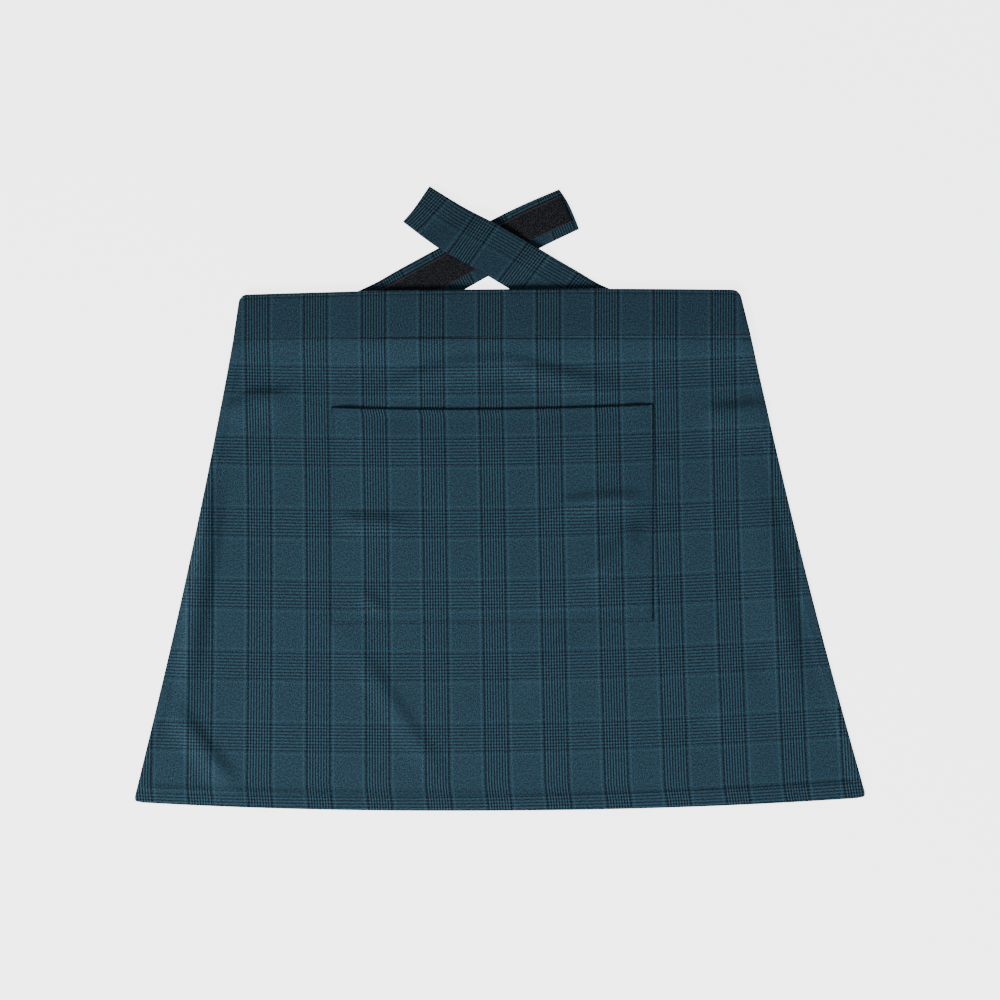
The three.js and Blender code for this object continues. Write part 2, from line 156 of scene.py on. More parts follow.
class ApronBelts(bpy.types.PropertyGroup):
    """Both belts and their tape"""

    width: length("Width", "Width of a belt", 46.5 * MM)
    thick: length("Thickness", "Folded belt", 1.6 * MM)
    rise: length("Rise", "Reach of the belts above the band", 81.8 * MM)
    crossing_fall: length("Crossing fall", "Distance in which the right belt comes down", 21 * MM)
    crossing_past: length("Past the belt", "How far the right belt stays level past the left one", 1 * MM)
    tape_width: length("Tape width", "Width of the tape", 27.5 * MM)
    tape_thick: length("Tape thickness", "Thickness of the tape", 1 * MM)
    tape_shift: length("Tape shift", "Tape's place towards the left belt's upper edge", 1.6 * MM)
    tape_margin: length("Tape margin", "Cloth past the tape's end", 4 * MM)
    loop_length: length("Loop tape", "Length of the tape on the left belt", 210 * MM)
    hook_length: length("Hook tape", "Length of the tape under the right belt", 85 * MM)
    hook_fade: length("Hook fade", "Distance in which the belt rises over its tape", 22 * MM)


class ApronCheck(bpy.types.PropertyGroup):
    """The glen check: groups of fine lines both ways on a plain ground"""

    warp_period: length("Warp period", "Distance between two lengthwise groups", 56.06 * MM)
    weft_period: length("Weft period", "Distance between two crosswise groups", 68.74 * MM)
    warp_pitch: length("Warp pitch", "Distance between two lengthwise lines", 2.6 * MM)
    weft_pitch: length("Weft pitch", "Distance between two crosswise lines", 3.06 * MM)
    warp_end: length("Warp end", "Extra width of a lengthwise group's dark ends", 1.3 * MM)
    weft_end: length("Weft end", "Extra width of a crosswise group's dark ends", 0.8 * MM)
    warp_outer: length("Warp outer line", "Single light line beside a lengthwise group", 14.06 * MM)
    weft_outer: length("Weft outer line", "Single light line beside a crosswise group", 16.0 * MM)
    warp_share: share("Warp share", "How much of the face is lengthwise thread", 0.62)
    # Band shade and belt shade are painted shade: they darken every colour of the same check cloth for the
    # band and the belts.
    band_painted_shade: share("Band shade", "How bright the doubled cloth of the band is", 0.82)
    belt_painted_shade: share("Belt shade", "How bright the doubled cloth of the belts is", 0.78)
    grain: share("Grain", "Strength of the yarn's uneven colour", 0.95)
    ground: colour("Ground", "Plain cloth", (0.0200, 0.0505, 0.0775))
    light: colour("Light thread", "Light lines", (0.0400, 0.1190, 0.1690))
    dark: colour("Dark thread", "Dark lines", (0.0020, 0.0035, 0.0080))
    # The sewing colour is the thread's own dark teal made darker still: partly painted shade of the needle
    # holes and seam creases.
    sewing: colour("Sewing thread", "All stitching", (0.0050, 0.0110, 0.0165))
    loops: colour("Loop tape", "Napped black tape", (0.0038, 0.0044, 0.0058))
    loops_light: colour("Loop fibres", "Fibres that catch the light", (0.0330, 0.0350, 0.0410))
    selvedge: colour("Selvedge", "Woven edge of the tape", (0.0600, 0.0550, 0.0600))


class ApronStudio(bpy.types.PropertyGroup):
    """Camera, lights and floor"""

    photo_scale: length("Photo scale", "Width of the table that one pixel of the photo shows", 0.96 * MM)
    camera_height: length("Camera height", "Camera over the table", 3.0)
    key: FloatProperty(name="Key light", description="Main soft light", default=305, unit="POWER")
    fill: FloatProperty(name="Fill light", description="Opposite soft light", default=9, unit="POWER")
    sky: FloatProperty(name="Sky", description="Light from all round", default=0.15, min=0)
    floor: colour("Floor", "Pale floor", (0.83, 0.83, 0.83))


# Belt routes from the sewn end to the free end. out is a share of half the band's width, above a
# share of the belts' rise over the band, below a share of the band's height, and wide a share of
# the belt's width.
LEFT_BELT = (
    {"out": -0.95, "above": 0.0, "below": 0.6, "wide": 0.86},
    {"out": -0.765, "above": 0.0, "below": 0.66, "wide": 0.9},
    {"out": -0.584, "above": 0.0, "below": 0.66, "wide": 0.95},
    {"out": -0.427, "above": 0.0, "below": 0.36, "wide": 1.0},
    {"out": -0.304, "above": 0.0, "below": 0.0, "wide": 1.02},
    {"out": -0.012, "above": 0.485, "below": 0.0, "wide": 0.99},
    {"out": 0.146, "above": 0.735, "below": 0.0, "wide": 0.96},
    {"out": 0.305, "above": 0.955, "below": 0.0, "wide": 0.92},
)
RIGHT_BELT = (
    {"out": 0.93, "above": 0.0, "below": 0.49, "wide": 0.88},
    {"out": 0.745, "above": 0.0, "below": 0.56, "wide": 0.91},
    {"out": 0.544, "above": 0.0, "below": 0.63, "wide": 0.96},
    {"out": 0.395, "above": 0.0, "below": 0.39, "wide": 1.0},
    {"out": 0.265, "above": 0.0, "below": 0.0, "wide": 1.02},
    {"out": -0.012, "above": 0.485, "below": 0.0, "wide": 1.02},
    {"out": -0.155, "above": 0.722, "below": 0.0, "wide": 1.0},
    {"out": -0.29, "above": 1.0, "below": 0.0, "wide": 0.92},
)

# Soft folds. line runs along the ridge, each point a share of the half width across and a share of
# the length down. lit is the reach towards the key light and shaded the reach away from it.
PANEL_FOLDS = (
    {
        "line": ((-0.75, 0.27), (-0.767, 0.36), (-0.813, 0.61), (-0.832, 0.72), (-0.845, 0.83)),
        "rise": 6.2 * MM, "lit": 15 * MM, "shaded": 19 * MM,
    },
    {
        "line": ((-0.87, 0.79), (-0.79, 0.885), (-0.69, 0.985)),
        "rise": 3.2 * MM, "lit": 22 * MM, "shaded": 14 * MM,
    },
    {
        "line": ((0.73, 0.28), (0.742, 0.36), (0.775, 0.525), (0.813, 0.71), (0.825, 0.8)),
        "rise": 3.0 * MM, "lit": 42 * MM, "shaded": 20 * MM,
    },
    {
        "line": ((0.56, 0.168), (0.65, 0.16), (0.775, 0.149)),
        "rise": 3.6 * MM, "lit": 36 * MM, "shaded": 13 * MM,
    },
    {
        "line": ((-0.75, 0.185), (-0.72, 0.165), (-0.655, 0.133), (-0.53, 0.125)),
        "rise": 3.3 * MM, "lit": 30 * MM, "shaded": 13 * MM,
    },
    {
        "line": (
            (-0.35, 0.16), (-0.207, 0.084), (-0.106, 0.062), (0.041, 0.05), (0.117, 0.068), (0.39, 0.12),
        ),
        "rise": 2.9 * MM, "lit": 20 * MM, "shaded": 13 * MM,
    },
    {
        "line": ((-0.39, 0.65), (-0.13, 0.96)),
        "rise": 1.9 * MM, "lit": 20 * MM, "shaded": 13 * MM,
    },
    {
        "line": ((0.05, 0.78), (0.24, 0.622)),
        "rise": 1.9 * MM, "lit": 18 * MM, "shaded": 12 * MM,
    },
    {
        "line": ((0.57, 0.85), (0.74, 0.686)),
        "rise": 2.3 * MM, "lit": 22 * MM, "shaded": 14 * MM,
    },
    {
        "line": ((-0.415, 0.032), (-0.396, 0.05)),
        "rise": 0.8 * MM, "lit": 8 * MM, "shaded": 7 * MM,
    },
)
POCKET_FOLDS = (
    {
        "line": ((0.56, 0.83), (0.99, 0.505)),
        "rise": 3.3 * MM, "lit": 20 * MM, "shaded": 15 * MM,
    },
    {
        "line": ((0.28, 0.55), (0.485, 0.448), (0.67, 0.43), (1.05, 0.42)),
        "rise": 2.2 * MM, "lit": 17 * MM, "shaded": 12 * MM,
    },
    {
        "line": ((-1.03, 0.524), (-0.5, 0.542)),
        "rise": 2.2 * MM, "lit": 17 * MM, "shaded": 12 * MM,
    },
    {
        "line": ((-0.82, 0.845), (-0.63, 0.985)),
        "rise": 1.5 * MM, "lit": 14 * MM, "shaded": 10 * MM,
    },
)
KEY_FROM = Vector((-0.568, -0.823))

# Where the groups of lines lie on the real apron, in metres from the middle of the band's seam
WARP_START = -1.9 * MM
WARP_DRIFT = 0.0163
WARP_SPREAD = 1.34 * MM
WARP_SPREAD_FROM = 137 * MM
WARP_SPREAD_OVER = 288 * MM
HEM_PULL = 2.4 * MM
HEM_PULL_FROM = 425 * MM
HEM_PULL_OVER = 30 * MM
WEFT_START = 41.8 * MM
WEFT_LEVEL = -88 * MM
WEFT_RISE_RIGHT = (6.9 * MM, 278 * MM)
WEFT_RISE_LEFT = (1.9 * MM, 163 * MM)
MOUTH_PULL = 1.8 * MM
MOUTH_PULL_OVER = 9 * MM
WARP_SPREAD_POWER = 1.5
PANEL_WARP_LESS = 0.16 * MM
BAND_WARP_PERIOD = 55.85 * MM
BAND_WARP_SHIFT = 0.2 * MM

# A belt's place on the check from its free end, and how far that end's two corners are cut back or on
RIGHT_BELT_CHECK = {
    "first": 7 * MM, "aside": 15 * MM, "lean": 0.12, "up": -1,
    "back": 0.0, "on": 2.0 * MM,
}
LEFT_BELT_CHECK = {
    "first": 14.8 * MM, "aside": 19 * MM, "lean": 0.0, "up": 1,
    "back": 2.6 * MM, "on": -1.0 * MM,
}
END_REACH = 30 * MM
LEFT_BELT_SEED = 31
RIGHT_BELT_SEED = 37
BELT_RIPPLE = 0.5
BELT_STEP = 2.6 * MM

# Grid lines by an edge, as shares of its radius, and close lines where the cloth turns or dips
EDGE_LINES = (0.0, 0.12, 0.45, 1.0)
ROUTE_STEP = 4 * MM
HEM_TURN = 0.8 * MM
HEM_ROWS = (13 * MM, 9 * MM, 6 * MM, 3.4 * MM)
SIDE_TURN = 0.7 * MM
SIDE_COLUMN = 2.5 * MM
SEAM_ROWS = tuple(row * MM for row in (-4.5, -1.6, -0.6, -0.2, 0.2, 0.6, 1.0, 1.4, 1.8, 2.6, 3.8))
PANEL_IN_FOLD = 8.6 * MM
OPEN_FROM = 5 * MM
POCKET_LINES = (2.0 * MM, 3.4 * MM, 5 * MM)
POCKET_COLUMN = 9 * MM
STITCH_ROWS = tuple(row * MM for row in (4.4, 3.6, 3.1, 2.7, 2.3))

# Small reliefs of the cloth
SEAM_DITCH = {"deep": 0.8 * MM, "at": 0.6 * MM, "reach": 1.2 * MM}
FOLD_FADE = 0.34
FOLD_END = 0.12
FOLD_TURN = 0.4
RIPPLE_WIDE = 46 * MM
RIPPLE_FINE = 17 * MM
RIPPLE_WIDE_SHARE = 0.75
NOISE_SIZE = 64
NOISE_SHIFT = (31.7, 17.3)
TAPE_EASE = 34 * MM
PANEL_OVER_BACK = 1.35 * MM
SIDE_RIPPLE = {
    "high": 0.55 * MM, "wave": 26 * MM, "out": 12 * MM, "reach": 13 * MM,
    "first": 12 * MM, "first_over": 20 * MM, "last": 152 * MM, "last_over": 30 * MM,
}
HEM_SEAM_INSET = 2 * MM
HEM_PUCKER = {"deep": 0.22 * MM, "reach": 2.2 * MM, "wave": 9 * MM, "swing": 0.5}
SIDE_SEAM_INSET = 1.6 * MM
POCKET_FREE = 24 * MM
MOUTH_SETTLES = 30 * MM
MOUTH_SLACK = 0.25
MOUTH_TURNED = 0.35 * MM
SEWN_TURNED = {"high": 0.12 * MM, "wide": 7 * MM, "over": 2 * MM}
POCKET_DITCH = {"deep": 0.25 * MM, "reach": 1.5 * MM}
FOLD_SHIFT = 0.7
BAND_GROOVE = {"deep": 0.5 * MM, "below": 0.4 * MM, "reach": 1.3 * MM}
BAND_AT_SEAM = 1.15 * MM
BAND_NARROWS = 9 * MM
BAND_FOLD = 1.9 * MM
BAND_SEED = 23
BAND_RIPPLE = 0.4
BAND_SEAM_INSET = 0.7 * MM
TAPE_SINK = 0.2 * MM
NAP = 0.28 * MM
NAP_SEED = 3
NAP_FROM = 1.6 * MM
LOOP_STEP = 0.85 * MM
HOOK_STEP = 2.6 * MM
TAPE_STITCH_INSET = 1.4 * MM

# Noise across and along the cloth, in bumps per metre
WARP_YARN = (760, 300, 0)
WEFT_YARN = (280, 880, 0)
FLECK = (1050, 800, 0)
CLOUD = (24, 19, 0)
LOOP_TANGLE = (820, 820, 0)
LOOP_PATCHES = (240, 240, 0)
THREAD_TWIST = (2600, 2600, 2600)

# How the threads and yarns show, and the painted shade along seams and edges
GROUP_SOFT = 0.35 * MM
GROUP_SHADE = 0.22
LINE_SHARPNESS = 1.7
LINE_DEPTH = 1.15
OUTER_LINE = {"light": 0.6, "half": 1.6, "soft": 0.7 * MM}
YARN_TONE = {"warp": 1.0, "weft": 0.7, "fleck": 4.6, "cloud": 0.15}
# Painted shade: the cloth is darkened within this reach of every edge of a piece, where seams and edges hold
# shadow.
SEAM_SHADE = {"deep": 0.8, "reach": 1.4 * MM}
TWILL = {"wave": 0.75 * MM, "high": 0.35}
CLOTH_BUMP = {"depth": 0.12 * MM, "strength": 0.45}
THREAD_BUMP = {"depth": 0.08 * MM, "strength": 0.6}
LOOP_BUMP = {"depth": 0.5 * MM, "strength": 0.8}
HOOK_BUMP = {"depth": 0.6 * MM, "strength": 0.7}
LOOP_TONE = {"tangle": 6.5, "patches": 1.2, "middle": 0.36}
SELVEDGE_UPPER = {"wide": 1.9 * MM, "soft": 0.5 * MM}
SELVEDGE_LOWER = {"wide": 0.9 * MM, "soft": 0.4 * MM, "share": 0.6}
RIB_WAVE = 0.8 * MM
HOOK_ROW = 1.3 * MM
HOOK_COLUMN = 1.1 * MM
THREAD_LIGHTER = 1.3
FLOOR_LIGHTER = 1.03

# How far the stitching runs and how proud it stands
HEM_STITCHED = 0.975
SIDE_STITCHED = 0.97
BAND_STITCHED = (0.006, 0.994)
PANEL_STITCH_RISE = 0.02 * MM
POCKET_STITCH_RISE = 0.15 * MM
BAND_STITCH_RISE = 0.05 * MM
TAPE_STITCH_RISE = 0.02 * MM

CAMERA_PLACE = (0.1 * MM, -1.44 * MM)
FRAME_PIXELS = 1000
FLOOR_SIZE = 24
FLOOR_DROP = 0.05 * MM
FLOOR_GLOW = 3.4
KEY_LIGHT = {"size": 1.4, "place": (-2.15, -3.15, 2.25)}
FILL_LIGHT = {"size": 2.0, "place": (1.3, 1.1, 2.6)}


def ease(value):
    """0 at and below 0, 1 at and above 1, with a smooth rise between."""
    return (1 - np.cos(np.pi * np.clip(value, 0, 1))) / 2


def even_lines(start, end, step):
    """Even lines about a step apart, both ends included."""
    count = max(1, round(abs(end - start) / step))
    return np.linspace(start, end, count + 1)


def edged_lines(total, close, step):
    """The same close lines at both ends of a length, and even lines between them."""
    close = np.asarray(close)
    middle = even_lines(close[-1], total - close[-1], step)
    return np.concatenate([close[:-1], middle, (total - close[:-1])[::-1]])


def gentle_noise(x, y, wave, seed):
    """Smooth noise from 0 to 1, with bumps about one wave across."""
    table = np.random.default_rng(seed).random((NOISE_SIZE, NOISE_SIZE))
    column, row = x / wave + NOISE_SHIFT[0], y / wave + NOISE_SHIFT[1]
    left, low = np.floor(column).astype(int), np.floor(row).astype(int)
    right_share, high_share = ease(column - left), ease(row - low)

    def corner(add_column, add_row):
        return table[(low + add_row) % NOISE_SIZE, (left + add_column) % NOISE_SIZE]

    lower = corner(0, 0) * (1 - right_share) + corner(1, 0) * right_share
    upper = corner(0, 1) * (1 - right_share) + corner(1, 1) * right_share
    return lower * (1 - high_share) + upper * high_share


def nearest_on_line(x, y, line):
    """Distance to a line, signed distance to the key light's side, and share of the way along it."""
    nearest = np.full(np.shape(x), np.inf)
    towards_key = np.zeros(np.shape(x))
    way = np.zeros(np.shape(x))
    whole = sum(math.dist(start, end) for start, end in zip(line[:-1], line[1:]))
    done = 0
    for (start_x, start_y), (end_x, end_y) in zip(line[:-1], line[1:]):
        run_x, run_y = end_x - start_x, end_y - start_y
        size = math.hypot(run_x, run_y)
        along = np.clip(((x - start_x) * run_x + (y - start_y) * run_y) / size**2, 0, 1)
        distance = np.hypot(x - start_x - run_x * along, y - start_y - run_y * along)
        across = Vector((-run_y, run_x)) / size
        facing = 1 if across.dot(KEY_FROM) > 0 else -1
        side = facing * ((x - start_x) * across.x + (y - start_y) * across.y)
        closer = distance < nearest
        nearest = np.where(closer, distance, nearest)
        towards_key = np.where(closer, side, towards_key)
        way = np.where(closer, (done + along * size) / whole, way)
        done += size
    return nearest, towards_key, way


def fold_height(folds, x, y, half_width, top, drop):
    """Height of a table of folds at each point."""
    total = np.zeros(np.shape(x))
    for fold in folds:
        line = [(across * half_width, top - down * drop) for across, down in fold["line"]]
        distance, side, way = nearest_on_line(x, y, line)
        towards = ease(side / (FOLD_TURN * fold["shaded"]) + 0.5)
        reach = fold["shaded"] + (fold["lit"] - fold["shaded"]) * towards
        fading = FOLD_END + (1 - FOLD_END) * ease(np.minimum(way, 1 - way) / FOLD_FADE)
        total = total + fold["rise"] * fading * ease(1 - distance / reach)
    return total


class Route:
    """A belt's way over the table, a centripetal curve whose third number is the belt's width."""

    def __init__(self, points):
        points = np.asarray(points)
        points = np.vstack([2 * points[0] - points[1], points, 2 * points[-1] - points[-2]])
        pieces = []
        for i in range(1, len(points) - 2):
            before, start, end, after = points[i - 1 : i + 3]
            spans = ((before, start), (start, end), (end, after))
            into, over, out = (np.sqrt(np.linalg.norm(b - a)) for a, b in spans)
            leave = over * ((start - before) / into - (end - before) / (into + over) + (end - start) / over)
            arrive = over * ((end - start) / over - (after - start) / (over + out) + (after - end) / out)
            t = np.linspace(0, 1, 40)[:, None]
            square, cube = -3 * start + 3 * end - 2 * leave - arrive, 2 * start - 2 * end + leave + arrive
            pieces.append(start + leave * t + square * t**2 + cube * t**3)
        self.line = np.vstack([pieces[0], *(piece[1:] for piece in pieces[1:])])
        steps = np.linalg.norm(np.diff(self.line, axis=0), axis=1)
        self.along = np.concatenate([[0], np.cumsum(steps)])
        self.length = self.along[-1]
        self.samples = self.at(np.linspace(0, self.length, math.ceil(self.length / ROUTE_STEP) + 1))

    def at(self, along):
        """Points of the route, each with its width."""
        return np.stack([np.interp(along, self.along, self.line[:, k]) for k in range(3)], axis=-1)

    def direction(self, along):
        """The way that the route runs, seen from above."""
        near = 0.5 * MM
        run = (self.at(np.minimum(along + near, self.length)) - self.at(np.maximum(along - near, 0)))[..., :2]
        return run / np.linalg.norm(run, axis=-1, keepdims=True)

    def place(self, along, out):
        """Points beside the route, out to its left."""
        point, way = self.at(along), self.direction(along)
        return point[..., 0] - way[..., 1] * out, point[..., 1] + way[..., 0] * out

    def distance(self, x, y):
        """Distance to the belt's near edge, below 0 on the belt."""
        nearest = np.full(np.shape(x), np.inf)
        for start, end in zip(self.samples[:-1], self.samples[1:]):
            run_x, run_y = end[0] - start[0], end[1] - start[1]
            along = ((x - start[0]) * run_x + (y - start[1]) * run_y) / (run_x**2 + run_y**2)
            along = np.clip(along, 0, 1)
            gap = np.hypot(x - start[0] - run_x * along, y - start[1] - run_y * along) - end[2] / 2
            nearest = np.minimum(nearest, gap)
        return nearest


class Form:
    """The apron's lines and heights, drawn from the middle of the band's lower seam."""

    def __init__(self, scene):
        self.cloth, self.band, self.panel = scene.apron_cloth, scene.apron_band, scene.apron_panel
        self.pocket, self.belts, self.check = scene.apron_pocket, scene.apron_belts, scene.apron_check
        self.origin_x = (POCKET_BOX[0].x + POCKET_BOX[1].x) / 2
        self.origin_y = BAND_BOX[0].y + self.band.tilt / 2 + self.band.seam_bow
        self.half_hem = (self.band.width + self.panel.flare_left + self.panel.flare_right) / 2
        self.left = Route([self.belt_point(row) for row in LEFT_BELT])
        self.right = Route([self.belt_point(row) for row in RIGHT_BELT])
        self.loop_end = self.left.length - self.belts.tape_margin
        self.loop_start = self.loop_end - self.belts.loop_length
        self.tape_under = self.belts.thick + self.cloth.gap
        self.tape_top = self.tape_under + self.belts.tape_thick
        covered = [
            point
            for i, point in enumerate(self.left.samples)
            if (i + 1) * ROUTE_STEP > self.loop_start
            and point[1] < self.band.height + self.belts.tape_width / 2
        ]
        self.covered_from = min(point[0] for point in covered) - self.belts.tape_width / 2
        self.covered_to = max(point[0] for point in covered)

    def belt_point(self, row):
        y = self.band.height + row["above"] * self.belts.rise - row["below"] * self.band.height
        return row["out"] * self.band.width / 2, y, row["wide"] * self.belts.width

    def seam_line(self, side):
        return self.band.tilt / 2 * side - self.band.seam_bow * side**2

    def top_line(self, side):
        return self.band.height + self.band.tilt / 2 * side - self.band.top_bow * side**2

    def hem_line(self, side):
        sag = self.panel.hem_sag * (1 - np.abs(side) ** self.panel.hem_fullness)
        return -self.panel.drop - sag + self.panel.hem_tilt / 2 * side

    def band_edges(self, up):
        half = self.band.width / 2
        return -half + self.band.taper_left * up, half - self.band.taper_right * up

    def panel_edges(self, down):
        """Left and right edge of the panel, at a share of its drop, below 0 inside the band."""
        half = self.band.width / 2
        bow = self.panel.side_bow * np.sin(np.pi * np.clip(down, 0, 1))
        inside_left, inside_right = self.band_edges(np.maximum(-down, 0) * self.panel.drop / self.band.height)
        left = np.where(down < 0, inside_left, -half - self.panel.flare_left * down + bow)
        right = np.where(down < 0, inside_right, half + self.panel.flare_right * down - bow)
        return left, right

    def band_under(self, x):
        """Underside of the band, higher on the stretch of tape that it covers."""
        outside = np.maximum(self.covered_from - x, x - self.covered_to)
        over_tape = ease(1 - outside / TAPE_EASE)
        return self.belts.thick + self.cloth.gap + (self.belts.tape_thick + self.cloth.gap) * over_tape

    def panel_held(self, x):
        """Underside of the panel inside the band."""
        return self.band_under(x) + PANEL_OVER_BACK

    def ripple(self, x, y, seed):
        """The cloth's shallow unevenness, never below 0."""
        wide = gentle_noise(x, y, RIPPLE_WIDE, seed)
        fine = gentle_noise(x, y, RIPPLE_FINE, seed + 1)
        return self.cloth.ripple * (RIPPLE_WIDE_SHARE * wide + (1 - RIPPLE_WIDE_SHARE) * fine)

    def panel_under(self, x, y):
        """Underside of the panel."""
        down = -y
        ditch = SEAM_DITCH["deep"] * ease(1 - np.abs(down - SEAM_DITCH["at"]) / SEAM_DITCH["reach"])
        held = self.panel_held(x) * ease(1 - down / self.panel.settle) - ditch
        near = np.minimum(self.left.distance(x, y), self.right.distance(x, y))
        settling = ease(1 - (near - self.panel.past_belt) / self.panel.settle)
        over_belts = (self.belts.thick + self.cloth.gap) * settling
        loose = fold_height(PANEL_FOLDS, x, y, self.half_hem, 0, self.panel.drop) + self.ripple(x, y, 5)
        loose = loose + self.side_ripples(x, y)
        resting = np.maximum(held, over_belts) + loose * ease(down / self.panel.settle)
        return np.where(down <= 0, self.panel_held(x) - ditch, resting)

    def side_ripples(self, x, y):
        """Small ripples beside the pocket's right seam, where it draws the panel in."""
        ripple = SIDE_RIPPLE
        beside = ease(1 - np.abs(x - self.pocket.width / 2 - ripple["out"]) / ripple["reach"])
        begin = ease((-y - self.pocket.drop - ripple["first"]) / ripple["first_over"])
        end = ease((ripple["last"] + self.pocket.drop + y) / ripple["last_over"])
        wave = (1 + np.sin(-y * 2 * np.pi / ripple["wave"])) / 2
        return ripple["high"] * beside * begin * end * wave

    def weave(self, x, y):
        down = -y
        period = self.check.warp_period - PANEL_WARP_LESS
        late = np.clip((down - WARP_SPREAD_FROM) / WARP_SPREAD_OVER, 0, None)
        spread = period + WARP_SPREAD * late**WARP_SPREAD_POWER
        centre = WARP_START + WARP_DRIFT * np.maximum(down, 0)
        centre = centre + HEM_PULL * ease((down - HEM_PULL_FROM) / HEM_PULL_OVER)
        aside = x - WEFT_LEVEL
        rise, reach = WEFT_RISE_RIGHT
        bow = np.where(aside > 0, rise * (aside / reach) ** 2, 0)
        rise, reach = WEFT_RISE_LEFT
        bow = bow + np.where(aside < 0, rise * (aside / reach) ** 2, 0)
        return (x - centre) / spread * self.check.warp_period, down + bow - WEFT_START

    def crossing_lift(self, x, y):
        """How high the right belt passes over the left one and its tape."""
        past = self.left.distance(x, y) - self.belts.crossing_past
        return (self.tape_top + self.cloth.gap) * ease(1 - past / self.belts.crossing_fall)

    def hook_start(self):
        """Where the hook tape begins on the right belt."""
        return self.right.length - self.belts.tape_margin - self.belts.hook_length

    def belt_ripple(self, x, y, seed):
        return BELT_RIPPLE * self.ripple(x, y, seed)

    def left_under(self, x, y, along):
        """Underside of the left belt."""
        return self.belt_ripple(x, y, LEFT_BELT_SEED)

    def right_under(self, x, y, along):
        """Underside of the right belt, over the left one and over its own hook tape."""
        by_hooks = ease(1 - (self.hook_start() - along) / self.belts.hook_fade)
        over_hooks = (self.belts.tape_thick + self.cloth.gap) * by_hooks
        return self.crossing_lift(x, y) + over_hooks + self.belt_ripple(x, y, RIGHT_BELT_SEED)

    def loop_under(self, x, y):
        """Underside of the loop tape, sunk a little into the left belt's gap."""
        return self.tape_under + self.belt_ripple(x, y, LEFT_BELT_SEED) - TAPE_SINK

    def hook_under(self, x, y):
        """Underside of the hook tape."""
        return self.crossing_lift(x, y) + self.belt_ripple(x, y, RIGHT_BELT_SEED)

    def band_ripple(self, x, y):
        return BAND_RIPPLE * self.ripple(x, y, BAND_SEED)


def rounded(edge, radius):
    """Share of the full thickness at a distance from a rounded edge."""
    inward = np.clip(1 - edge / radius, 0, 1)
    return np.sqrt(1 - inward**2)


def round_off(a, b, radius):
    """Moves points near a square corner onto a round one. a and b are the distances from its edges."""
    reach_a, reach_b = np.clip(radius - a, 0, None), np.clip(radius - b, 0, None)
    inside = (reach_a > 0) & (reach_b > 0)
    inward = np.maximum(reach_a, reach_b) / np.maximum(np.hypot(reach_a, reach_b), 1e-12)
    return np.where(inside, radius - reach_a * inward, a), np.where(inside, radius - reach_b * inward, b)


def link_mesh(name, vertices, faces, weave=None):
    """A smooth mesh object in the scene, with its place on the cloth kept at each vertex."""
    mesh = bpy.data.meshes.new(name)
    mesh.from_pydata(vertices.tolist(), [], faces)
    mesh.polygons.foreach_set("use_smooth", np.ones(len(mesh.polygons), bool))
    if weave is not None:
        attribute = mesh.attributes.new("weave", "FLOAT_VECTOR", "POINT")
        attribute.data.foreach_set("vector", weave.astype(np.float32).ravel())
    mesh.update()
    piece = bpy.data.objects.new(name, mesh)
    bpy.context.scene.collection.objects.link(piece)
    return piece


def thin_sheet(name, upper, lower, weave):
    """A closed sheet from two grids that meet along their borders."""
    rows, columns = upper.shape[:2]
    top = np.arange(rows * columns).reshape(rows, columns)
    inner = np.zeros((rows, columns), bool)
    inner[1:-1, 1:-1] = True
    bottom = top.copy()
    bottom[inner] = rows * columns + np.arange(inner.sum())
    vertices = np.concatenate([upper.reshape(-1, 3), lower[inner]])
    places = np.concatenate([weave.reshape(-1, 3), weave[inner]])

    def quads(grid):
        return np.stack([grid[:-1, :-1], grid[:-1, 1:], grid[1:, 1:], grid[1:, :-1]], axis=-1).reshape(-1, 4)

    i, j = rows // 2, columns // 2
    across, along = upper[i, j + 1] - upper[i, j], upper[i + 1, j] - upper[i, j]
    outward = np.dot(np.cross(across, along), upper[i, j] - lower[i, j]) > 0
    over, under = quads(top), quads(bottom)
    faces = np.concatenate([over, under[:, ::-1]] if outward else [over[:, ::-1], under])
    return link_mesh(name, vertices, faces.tolist(), places)


def laid_sheet(name, form, x, y, under, over, edge, radius, weave):
    """A sheet with rounded edges from its plan and the heights of both its faces."""
    middle = (under + over) / 2
    part = rounded(edge, radius)
    shift = np.array([form.origin_x, form.origin_y, 0])
    upper = np.stack([x, y, middle + (over - middle) * part], axis=-1) + shift
    lower = np.stack([x, y, middle - (middle - under) * part], axis=-1) + shift
    return thin_sheet(name, upper, lower, np.stack([*weave, edge], axis=-1))


def place_piece(piece, material, slot, *nodes):
    """Gives a piece its finish and its body, and hides the CAD nodes that it stands for."""
    piece.data.materials.append(material)
    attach(piece, "root")
    if nodes:
        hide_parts(*nodes)
    return piece


def deselect_all():
    """Nothing stays selected, so that an operator acts on the new piece alone."""
    for thing in bpy.context.scene.objects:
        thing.select_set(False)


def one_stitch(cloth):
    """Vertices and faces of one stitch, modelled once: a short thread that dips in at both ends."""
    deselect_all()
    bpy.ops.mesh.primitive_uv_sphere_add(segments=8, ring_count=6, radius=0.5, rotation=(0, math.pi / 2, 0))
    bpy.ops.object.transform_apply(location=False, rotation=True, scale=False)
    bpy.ops.transform.resize(value=(cloth.stitch, cloth.thread, cloth.thread))
    bpy.ops.object.transform_apply(location=False, rotation=False, scale=True)
    bead = bpy.context.object
    vertices = np.array([vertex.co for vertex in bead.data.vertices])
    faces = [list(polygon.vertices) for polygon in bead.data.polygons]
    mesh = bead.data
    bpy.data.objects.remove(bead)
    bpy.data.meshes.remove(mesh)
    vertices[:, 2] -= cloth.thread * 0.9 * (np.abs(vertices[:, 0]) / (cloth.stitch / 2)) ** 2
    return vertices, faces


